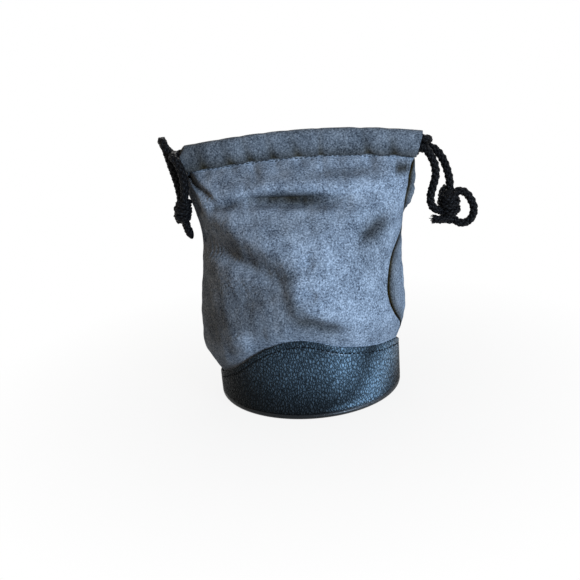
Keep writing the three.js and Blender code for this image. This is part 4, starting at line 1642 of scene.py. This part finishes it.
    def build(self) -> list[bpy.types.Object]:
        """Builds the cloth and its stitches.

        Returns:
            The pieces.
        """
        made = []
        for side in Side:
            smooth = self.smooth_face(side)
            grid = smooth + self.lift(side, smooth)[..., None] * grid_normals(smooth)
            normals = grid_normals(grid)
            shade = self.shade(side, smooth)
            label = side.name.lower()
            for hand in Hand:
                cloth = self.quarter(side, hand, grid, normals, shade)
                name = f"{label}_{hand.name.lower()}_hem_stitches"
                route = self.stitch_route(side, hand, grid, normals)
                sewing = self.stitches.run(name, [route], self.hem_seam.sizes(), self.finishes.thread)
                for piece in (cloth, sewing):
                    self.bend(piece, side, hand)
                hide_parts(f"{label}_panel", f"{label}_neck")
                made += [cloth, sewing]
        return made


@dataclass(frozen=True)
class Knot:
    """A tied knot: its outside size, turns of cord and tilt to the right in degrees."""

    width: float
    height: float
    turns: float
    tilt: float

    def placed(self, local: np.ndarray, middle: np.ndarray) -> np.ndarray:
        """Tilts places of the knot and moves them to where it is tied.

        Args:
            local: Places from the knot's middle.
            middle: Where the knot is tied.

        Returns:
            The places in the pouch's frame.
        """
        tilt = math.radians(self.tilt)
        x = local[:, 0] * math.cos(tilt) + local[:, 2] * math.sin(tilt)
        z = -local[:, 0] * math.sin(tilt) + local[:, 2] * math.cos(tilt)
        return middle + np.stack([x, local[:, 1], z], axis=1)


@dataclass(frozen=True)
class Fray:
    """Loose yarn at the end of a tail: its spread and stray, and the ranges of its lengths and radii."""

    yarns: int = 40
    seed: int = 7
    spread: float = 0.46
    outward: float = 0.5
    stray: float = 0.35
    rooted: float = 0.8
    lengths: tuple[float, float] = (1.2, 2.6)
    radii: tuple[float, float] = (0.22, 0.42)
    thinning: float = 0.55
    places: int = 5
    sides: int = 5


@dataclass
class Drawstrings:
    """The two cords: in the hem, round its ends and hanging from them with their knots."""

    finishes: Finishes
    braid: NodeRecipe
    cloth: ClothTube
    diameter: float = 4.2
    upper_level: float = 3.9
    lower_level: float = 8.4
    clearance: float = 0.3
    turn_lead: float = 0.5
    turn_reach: float = 3.4
    turn_places: int = 9
    step: float = 0.6
    run_places: int = 80
    crown_diameter: float = 4.75
    yarn_width: float = 1.7
    lay_length: float = 13.0
    yarns_each_way: int = 4
    braid_step: float = 0.5
    left_knot: Knot = Knot(9.6, 14.4, 3.0, 7.0)
    right_knot: Knot = Knot(12.2, 17.4, 3.5, -6.0)
    knot_places: int = 120
    knot_draw: float = 0.35
    knot_slant: float = 0.42
    slant_start: float = 0.6
    core_inset: float = 0.8
    core_fill: float = 0.6
    core_rows: int = 12
    core_sides: int = 24
    fray: Fray = Fray()
    seal_root: float = 1.2
    seal_length: float = 2.4
    seal_taper: float = 0.62
    seal_bluntness: float = 0.97
    seal_places: int = 10
    seal_sides: int = 14

    @property
    def braid_sizes(self) -> dict[str, float]:
        """Sizes for the braid's named inputs.

        Returns:
            Value of each input, in metres where it is a length.
        """
        return {
            "Cord Diameter": self.crown_diameter * MM, "Yarn Width": self.yarn_width * MM,
            "Lay Length": self.lay_length * MM, "Yarns Each Way": self.yarns_each_way,
            "Step": self.braid_step * MM,
        }

    @property
    def hem_middle(self) -> float:
        """Distance of a cord in the hem from the middle of the mouth."""
        return (self.cloth.mouth_gap + self.cloth.hem_thickness) / 2.0

    def exit(self, hand: Hand, depth: float) -> tuple[np.ndarray, np.ndarray]:
        """Where a cord leaves the hem.

        Args:
            hand: End of the hem.
            depth: Distance below the hem's crown.

        Returns:
            The place in the middle of the mouth, and the way that the cord leaves.
        """
        half = self.cloth.mouth_width / 2.0
        slope = 2.0 * self.cloth.hem_sag / half
        steep = math.hypot(1.0, slope)
        x = self.cloth.mouth_lean + hand.value * (half - depth * slope / steep)
        place = np.array([x, 0.0, self.cloth.height - self.cloth.hem_sag - depth / steep])
        return place, np.array([hand.value, 0.0, -slope]) / steep

    def strand_route(self, hand: Hand, depth: float, side: Side, offsets: Sequence[Point]) -> np.ndarray:
        """Route of a free strand.

        Args:
            hand: End of the hem.
            depth: Distance of the cord below the crown.
            side: Half of the hem that it comes out of.
            offsets: Places that it passes, from its exit.

        Returns:
            Places along the strand.
        """
        place, way = self.exit(hand, depth)
        away = side.value * self.hem_middle + self.cloth.swing(place[0])
        start = place + np.array([0.0, away, -self.cloth.drop(side)])
        points = [start - way, start + way * self.diameter / 2.0]
        points += [place + np.array(offset) for offset in offsets]
        return route_through(points, self.step)

    def turn_route(self, hand: Hand, depth: float) -> np.ndarray:
        """Route of a cord round the end of the hem, from the front to the back.

        Args:
            hand: End of the hem.
            depth: Distance of the cord below the crown.

        Returns:
            Places along the turn.
        """
        place, way = self.exit(hand, depth)
        place[1] = self.cloth.swing(place[0])
        points = [place + np.array([0.0, -self.hem_middle, 0.0])]
        for share in np.linspace(-0.5, 0.5, self.turn_places):
            reach = self.clearance / 2.0 + self.turn_lead + self.turn_reach * math.cos(share * math.pi)
            aside = math.sin(share * math.pi)
            drop = self.cloth.back_drop * (aside + 1.0) / 2.0
            points.append(place + way * reach + np.array([0.0, self.hem_middle * aside, -drop]))
        points.append(place + np.array([0.0, self.hem_middle, -self.cloth.back_drop]))
        return route_through(points, self.step)

    def run_route(self, side: Side, hand: Hand, depth: float) -> np.ndarray:
        """Route of a cord inside one quarter of the hem.

        Args:
            side: Half of the hem.
            hand: Left or right quarter.
            depth: Distance of the cord below the crown.

        Returns:
            Places along the run.
        """
        half = self.cloth.mouth_width / 2.0 - self.clearance
        x = self.cloth.mouth_lean + hand.value * np.linspace(0.0, half, self.run_places)
        level = self.cloth.crown(x, self.cloth.drop(side)) - depth
        return np.stack([x, side.value * self.hem_middle + self.cloth.swing(x), level], axis=1)

    def knot_route(self, knot: Knot, place: np.ndarray) -> np.ndarray:
        """Route of the cord that is wound round a knot.

        Args:
            knot: The knot.
            place: Middle of the knot.

        Returns:
            Places along the cord.
        """
        radius = (knot.width - self.diameter) / 2.0
        reach = (knot.height - self.diameter) / 2.0
        share = np.linspace(-1.0, 1.0, self.knot_places)
        angle = share * knot.turns * math.pi
        drawn = radius * (1.0 - self.knot_draw * np.abs(share) ** 3)
        slant = self.knot_slant * radius * np.sin(angle + self.slant_start)
        local = np.stack([drawn * np.cos(angle), drawn * np.sin(angle), -share * reach + slant], axis=1)
        return knot.placed(local, place)

    def braided(self, name: str, route: np.ndarray) -> bpy.types.Object:
        """Makes a braided piece of cord.

        Args:
            name: Name of the piece.
            route: Places along the cord's middle.

        Returns:
            The piece.
        """
        piece = self.braid.run(name, [route], self.braid_sizes, self.finishes.cord)
        return piece

    def frayed_tip(self, name: str, place: np.ndarray, way: np.ndarray) -> bpy.types.Object:
        """Loose yarn at the end of a tail.

        Args:
            name: Name of the piece.
            place: End of the tail.
            way: Way that the tail points.

        Returns:
            The yarn.
        """
        fray = self.fray
        rng = np.random.default_rng(fray.seed)
        way = way / np.linalg.norm(way)
        aside = np.cross(way, np.array([0.0, 1.0, 0.0]))
        aside /= np.linalg.norm(aside)
        other = np.cross(way, aside)
        vertices: list[np.ndarray] = []
        faces: list[list[int]] = []
        count = 0
        share = np.linspace(0.0, 1.0, fray.places)[:, None]
        for _ in range(fray.yarns):
            angle = rng.uniform(0.0, math.tau)
            spread = math.sqrt(rng.uniform(0.0, 1.0)) * self.diameter * fray.spread
            out = math.cos(angle) * aside + math.sin(angle) * other
            bend = out * fray.outward + rng.normal(0.0, fray.stray, 3)
            root = place + out * spread - way * fray.rooted
            route = root + way * rng.uniform(*fray.lengths) * share + bend * share**2
            radii = rng.uniform(*fray.radii) * (1.0 - fray.thinning * share[:, 0])
            tube, tube_faces = tube_mesh(route, radii, fray.sides)
            vertices.append(tube)
            faces += [[corner + count for corner in f] for f in tube_faces]
            count += len(tube)
        piece = mesh_object(name, np.concatenate(vertices), faces, self.finishes.cord)
        return piece

    def sealed_tip(self, name: str, place: np.ndarray, way: np.ndarray) -> bpy.types.Object:
        """Melted end of a tail, drawn out to a blunt point.

        Args:
            name: Name of the piece.
            place: End of the tail.
            way: Way that the tail points.

        Returns:
            The tip.
        """
        share = np.linspace(0.0, 1.0, self.seal_places)
        along = mix(-self.seal_root, self.seal_length, share)
        route = place + way / np.linalg.norm(way) * along[:, None]
        rounded = np.sqrt(1.0 - self.seal_bluntness * share**3)
        radii = self.diameter / 2.0 * rounded * mix(1.0, self.seal_taper, share)
        vertices, faces = tube_mesh(route, radii, self.seal_sides)
        piece = mesh_object(name, vertices, faces, self.finishes.cord)
        return piece

    def knot_core(self, name: str, knot: Knot, place: np.ndarray) -> bpy.types.Object:
        """Round core that fills a knot between its turns.

        Args:
            name: Name of the piece.
            knot: The knot.
            place: Middle of the knot.

        Returns:
            The core.
        """
        reach = knot.height / 2.0 - self.core_inset
        width = (knot.width - self.diameter) / 2.0 + self.core_fill
        profile = [(0.0, -reach)]
        for k in range(1, self.core_rows):
            angle = -math.pi / 2.0 + math.pi * k / self.core_rows
            profile.append((width * math.cos(angle), reach * math.sin(angle)))
        profile.append((0.0, reach))
        piece = turned_object(name, profile, self.core_sides, self.finishes.cord)
        local = np.array([vertex.co for vertex in piece.data.vertices]) / MM
        piece.data.vertices.foreach_set("co", (knot.placed(local, place) * MM).ravel())
        piece.data.update()
        return piece

    def build_hem_cords(self) -> list[bpy.types.Object]:
        """Cords inside the hem and round its ends.

        Returns:
            The pieces.
        """
        made = []
        for cord, depth in (("left_cord", self.upper_level), ("right_cord", self.lower_level)):
            for side in Side:
                for hand in Hand:
                    label = f"{side.name.lower()}_{hand.name.lower()}"
                    route = self.run_route(side, hand, depth)
                    piece = self.braided(f"{cord}_{label}_hem_cord", route)
                    self.cloth.bend(piece, side, hand)
                    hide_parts(f"{cord}_{side.name.lower()}_run")
                    made.append(piece)
            far = Hand.RIGHT if cord == "left_cord" else Hand.LEFT
            turn = self.braided(f"{cord}_round_turn", self.turn_route(far, depth))
            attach(turn, "pouch")
            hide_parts(f"{cord}_turn")
            made.append(turn)
        return made

    def build_free_cord(
        self,
        cord: str,
        hand: Hand,
        depth: float,
        knot: Knot,
        knot_offset: Point,
        strands: dict[Side, tuple[Point, ...]],
        tail: tuple[Point, ...],
        loop: tuple[Point, ...],
    ) -> list[bpy.types.Object]:
        """Strands, knot, tail and loop at one end of the hem.

        Args:
            cord: Name of the cord.
            hand: End of the hem.
            depth: Distance of the cord below the crown.
            knot: The knot that ties the strands.
            knot_offset: Middle of the knot, from the exit.
            strands: Places along each strand, from the exit.
            tail: Places along the tail, from the knot.
            loop: Places along the loop, from the knot, or nothing.

        Returns:
            The pieces.
        """
        place, _ = self.exit(hand, depth)
        centre = place + np.array(knot_offset)
        wound = self.braided(f"{cord}_knot_turns", self.knot_route(knot, centre))
        core = self.knot_core(f"{cord}_knot_core", knot, centre)
        tail_route = route_through([centre + np.array(p) for p in tail], self.step)
        end = self.braided(f"{cord}_tail_braid", tail_route)
        make_tip = self.frayed_tip if loop else self.sealed_tip
        tip = make_tip(f"{cord}_tail_tip", tail_route[-1], tail_route[-1] - tail_route[-3])
        on_cord = [wound, core, end, tip]
        for piece in on_cord:
            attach(piece, cord)
        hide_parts(f"{cord}_knot")
        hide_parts(f"{cord}_tail")
        made = list(on_cord)
        for side, offsets in strands.items():
            label = side.name.lower()
            route = self.strand_route(hand, depth, side, offsets)
            strand = self.braided(f"{cord}_{label}_braid", route)
            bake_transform(strand)
            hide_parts(f"{cord}_{label}_strand")
            made.append(strand)
        if loop:
            route = route_through([centre + np.array(p) for p in loop], self.step)
            piece = self.braided(f"{cord}_loop_braid", route)
            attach(piece, cord)
            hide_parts(f"{cord}_loop")
            made.append(piece)
        return made

    def build(self) -> list[bpy.types.Object]:
        """Builds both cords.

        Returns:
            The pieces.
        """
        made = self.build_hem_cords()
        made += self.build_free_cord(
            "left_cord", Hand.LEFT, self.upper_level, self.left_knot, (-0.8, -8.5, -27.0),
            {
                Side.FRONT: (
                    (-2.8, -7.8, 0.5), (-2.0, -10.6, 0.2), (-0.1, -12.0, -2.4), (1.3, -12.1, -7.0),
                    (1.8, -11.8, -12.5), (1.4, -11.0, -17.5), (0.0, -9.0, -24.5),
                ),
                Side.BACK: (
                    (-3.9, 5.4, -1.0), (-6.8, 5.2, 2.0), (-8.5, 3.4, 5.6), (-8.1, 0.2, 7.4),
                    (-6.9, -2.4, 5.2), (-5.6, -3.8, 0.8), (-4.3, -5.0, -4.6), (-2.7, -5.6, -11.0),
                    (-1.7, -6.2, -17.0), (-1.0, -8.0, -24.5),
                ),
            },
            ((0.4, 0.0, -4.0), (0.9, 0.0, -8.0), (1.6, 0.0, -10.4), (2.3, 0.0, -12.6)),
            (),
        )
        made += self.build_free_cord(
            "right_cord", Hand.RIGHT, self.lower_level, self.right_knot, (14.9, -1.0, -30.6),
            {
                Side.FRONT: (
                    (5.7, -4.6, -5.6), (7.4, -4.7, -10.9), (7.3, -4.6, -15.9), (5.8, -4.5, -21.1),
                    (4.7, -4.5, -26.1), (5.7, -4.2, -30.6), (9.2, -3.2, -33.2), (13.4, -1.4, -33.4),
                ),
                Side.BACK: (
                    (5.2, 4.3, -1.4), (9.0, 4.0, -3.3), (12.3, 3.2, -7.7), (14.4, 2.0, -13.2),
                    (15.5, 0.6, -18.9), (15.4, -0.6, -27.0),
                ),
            },
            ((0.5, -2.5, -6.2), (-4.2, -4.8, -7.0), (-8.8, -5.8, -6.2)),
            (
                (2.0, 0.0, 4.5), (5.5, 0.2, 6.3), (9.2, 0.3, 4.6), (12.1, 0.2, 0.1), (13.1, 0.0, -3.9),
                (11.6, -0.2, -8.6), (7.9, -0.3, -10.7), (3.7, -0.2, -9.6), (0.5, 0.0, -5.0),
            ),
        )
        return made


@dataclass(frozen=True)
class Lamp:
    """A soft area light, placed by its direction and distance from the place that it points at."""

    name: str
    azimuth: float
    elevation: float
    distance: float
    size: float
    power: float
    colour: Point


@dataclass
class Studio:
    """Floor, light and camera."""

    elevation: float = 24.0
    roll: float = 4.2
    distance: float = 520.0
    origin_pixel: tuple[float, float] = (311.5, 381.0)
    pixels_per_mm: float = 1.764
    sensor: float = 36.0
    lamps: tuple[Lamp, ...] = (
        Lamp("window_light", 37.0, 12.0, 0.95, 0.35, 9.0, (0.77, 0.99, 1.28)),
        Lamp("room_light", -62.0, 38.0, 1.2, 0.8, 1.2, (1.0, 0.82, 0.62)),
        Lamp("back_light", 175.0, 40.0, 1.2, 0.8, 6.0, (1.0, 0.98, 0.95)),
    )
    lamp_aim: Point = (0.0, 0.0, 70.0)
    ambient: Point = (0.088, 0.07, 0.053)
    floor_colour: Point = (0.42, 0.4, 0.38)
    floor_half: float = 1500.0
    floor_glow: float = 0.86
    glow_rise: float = 5.0

    def add_camera(self) -> None:
        """Puts the camera where the photograph was taken from."""
        data = bpy.data.cameras.new("photo_camera")
        focal = self.pixels_per_mm * self.distance
        data.sensor_width = self.sensor
        data.lens = focal * self.sensor / IMAGE_SIZE
        data.clip_start = 0.01
        data.dof.use_dof = False
        data.shift_x = (IMAGE_SIZE / 2.0 - self.origin_pixel[0]) / IMAGE_SIZE
        data.shift_y = (self.origin_pixel[1] - IMAGE_SIZE / 2.0) / IMAGE_SIZE
        camera = bpy.data.objects.new("photo_camera", data)
        tilt = math.radians(self.elevation)
        camera.location = Vector((0.0, -math.cos(tilt), math.sin(tilt))) * self.distance * MM
        turn = (-camera.location).to_track_quat("-Z", "Y").to_matrix().to_4x4()
        rolled = turn @ Matrix.Rotation(math.radians(-self.roll), 4, "Z")
        camera.rotation_euler = rolled.to_euler()
        bpy.context.scene.collection.objects.link(camera)
        bpy.context.scene.camera = camera

    def add_lamps(self) -> None:
        """Adds the area lights."""
        for lamp in self.lamps:
            data = bpy.data.lights.new(lamp.name, "AREA")
            data.shape = "DISK"
            data.size = lamp.size
            data.energy = lamp.power
            data.color = lamp.colour
            item = bpy.data.objects.new(lamp.name, data)
            around = math.radians(lamp.azimuth)
            up = math.radians(lamp.elevation)
            way = Vector((math.sin(around) * math.cos(up), -math.cos(around) * math.cos(up), math.sin(up)))
            item.location = Vector(self.lamp_aim) * MM + way * lamp.distance
            item.rotation_euler = (-way).to_track_quat("-Z", "Y").to_euler()
            bpy.context.scene.collection.objects.link(item)

    def seen_directly(self, shader: Shader) -> bpy.types.NodeSocket:
        """Mask of what the camera, a reflection or glass sees.

        Args:
            shader: Tree of a material or the world.

        Returns:
            The mask.
        """
        path = shader.add("ShaderNodeLightPath")
        seen = shader.math("MAXIMUM", path.outputs["Is Camera Ray"], path.outputs["Is Glossy Ray"])
        return shader.math("MAXIMUM", seen, path.outputs["Is Transmission Ray"])

    def add_world(self) -> None:
        """Makes a white backdrop with a low, even light."""
        world = bpy.data.worlds.new("studio_world")
        world.use_nodes = True
        shader = Shader(world.node_tree)
        background = shader.tree.nodes["Background"]
        seen = self.seen_directly(shader)
        colour = shader.blend_colours(seen, (*self.ambient, 1.0), (1.0, 1.0, 1.0, 1.0))
        shader.join(colour, background.inputs["Color"])
        bpy.context.scene.world = world

    def add_floor(self) -> None:
        """Lays a pale floor that keeps a faint shadow near the pouch."""
        made = bpy.data.materials.new("studio_floor")
        made.use_nodes = True
        shader = Shader(made.node_tree)
        nodes = shader.tree.nodes
        nodes.remove(nodes["Principled BSDF"])
        matt = shader.add("ShaderNodeBsdfDiffuse", {"Color": (*self.floor_colour, 1.0)})
        glow = shader.add("ShaderNodeEmission")
        place = shader.add("ShaderNodeTexCoord").outputs["Object"]
        away = shader.add("ShaderNodeVectorMath", {0: place}, operation="LENGTH")
        spread = shader.math("MULTIPLY", away.outputs["Value"], self.glow_rise)
        spread = shader.math("MINIMUM", spread, 1.0)
        clean = shader.math("MULTIPLY_ADD", spread, 1.0 - self.floor_glow, self.floor_glow)
        share = shader.math("MULTIPLY", clean, self.seen_directly(shader))
        blend = shader.add("ShaderNodeMixShader", {0: share, 1: matt.outputs[0], 2: glow.outputs[0]})
        shader.join(blend.outputs[0], nodes["Material Output"].inputs["Surface"])
        signs = ((-1.0, -1.0), (1.0, -1.0), (1.0, 1.0), (-1.0, 1.0))
        corners = np.array([(x * self.floor_half, y * self.floor_half, 0.0) for x, y in signs])
        mesh_object("studio_floor", corners, [(0, 1, 2, 3)], made)

    def build(self) -> None:
        """Sets up the whole studio."""
        self.add_camera()
        self.add_lamps()
        self.add_world()
        self.add_floor()
        bpy.context.scene.view_settings.view_transform = "Standard"


def main() -> None:
    """Builds the pouch's looks around its solids."""
    logging.basicConfig(level=logging.INFO, format="%(name)s: %(message)s")
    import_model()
    finishes = Finishes()
    braid = braid_recipe()
    stitches = stitch_recipe()
    cup = LeatherCup(finishes, stitches)
    cloth = ClothTube(finishes, stitches, cup)
    cords = Drawstrings(finishes, braid, cloth)
    Studio().build()
    pieces = cords.build()
    pieces += cup.build()
    pieces += cloth.build()
    for piece in pieces:
        LOG.info("%s: %d faces", piece.name, len(piece.data.polygons))


if __name__ == "__main__":
    main()
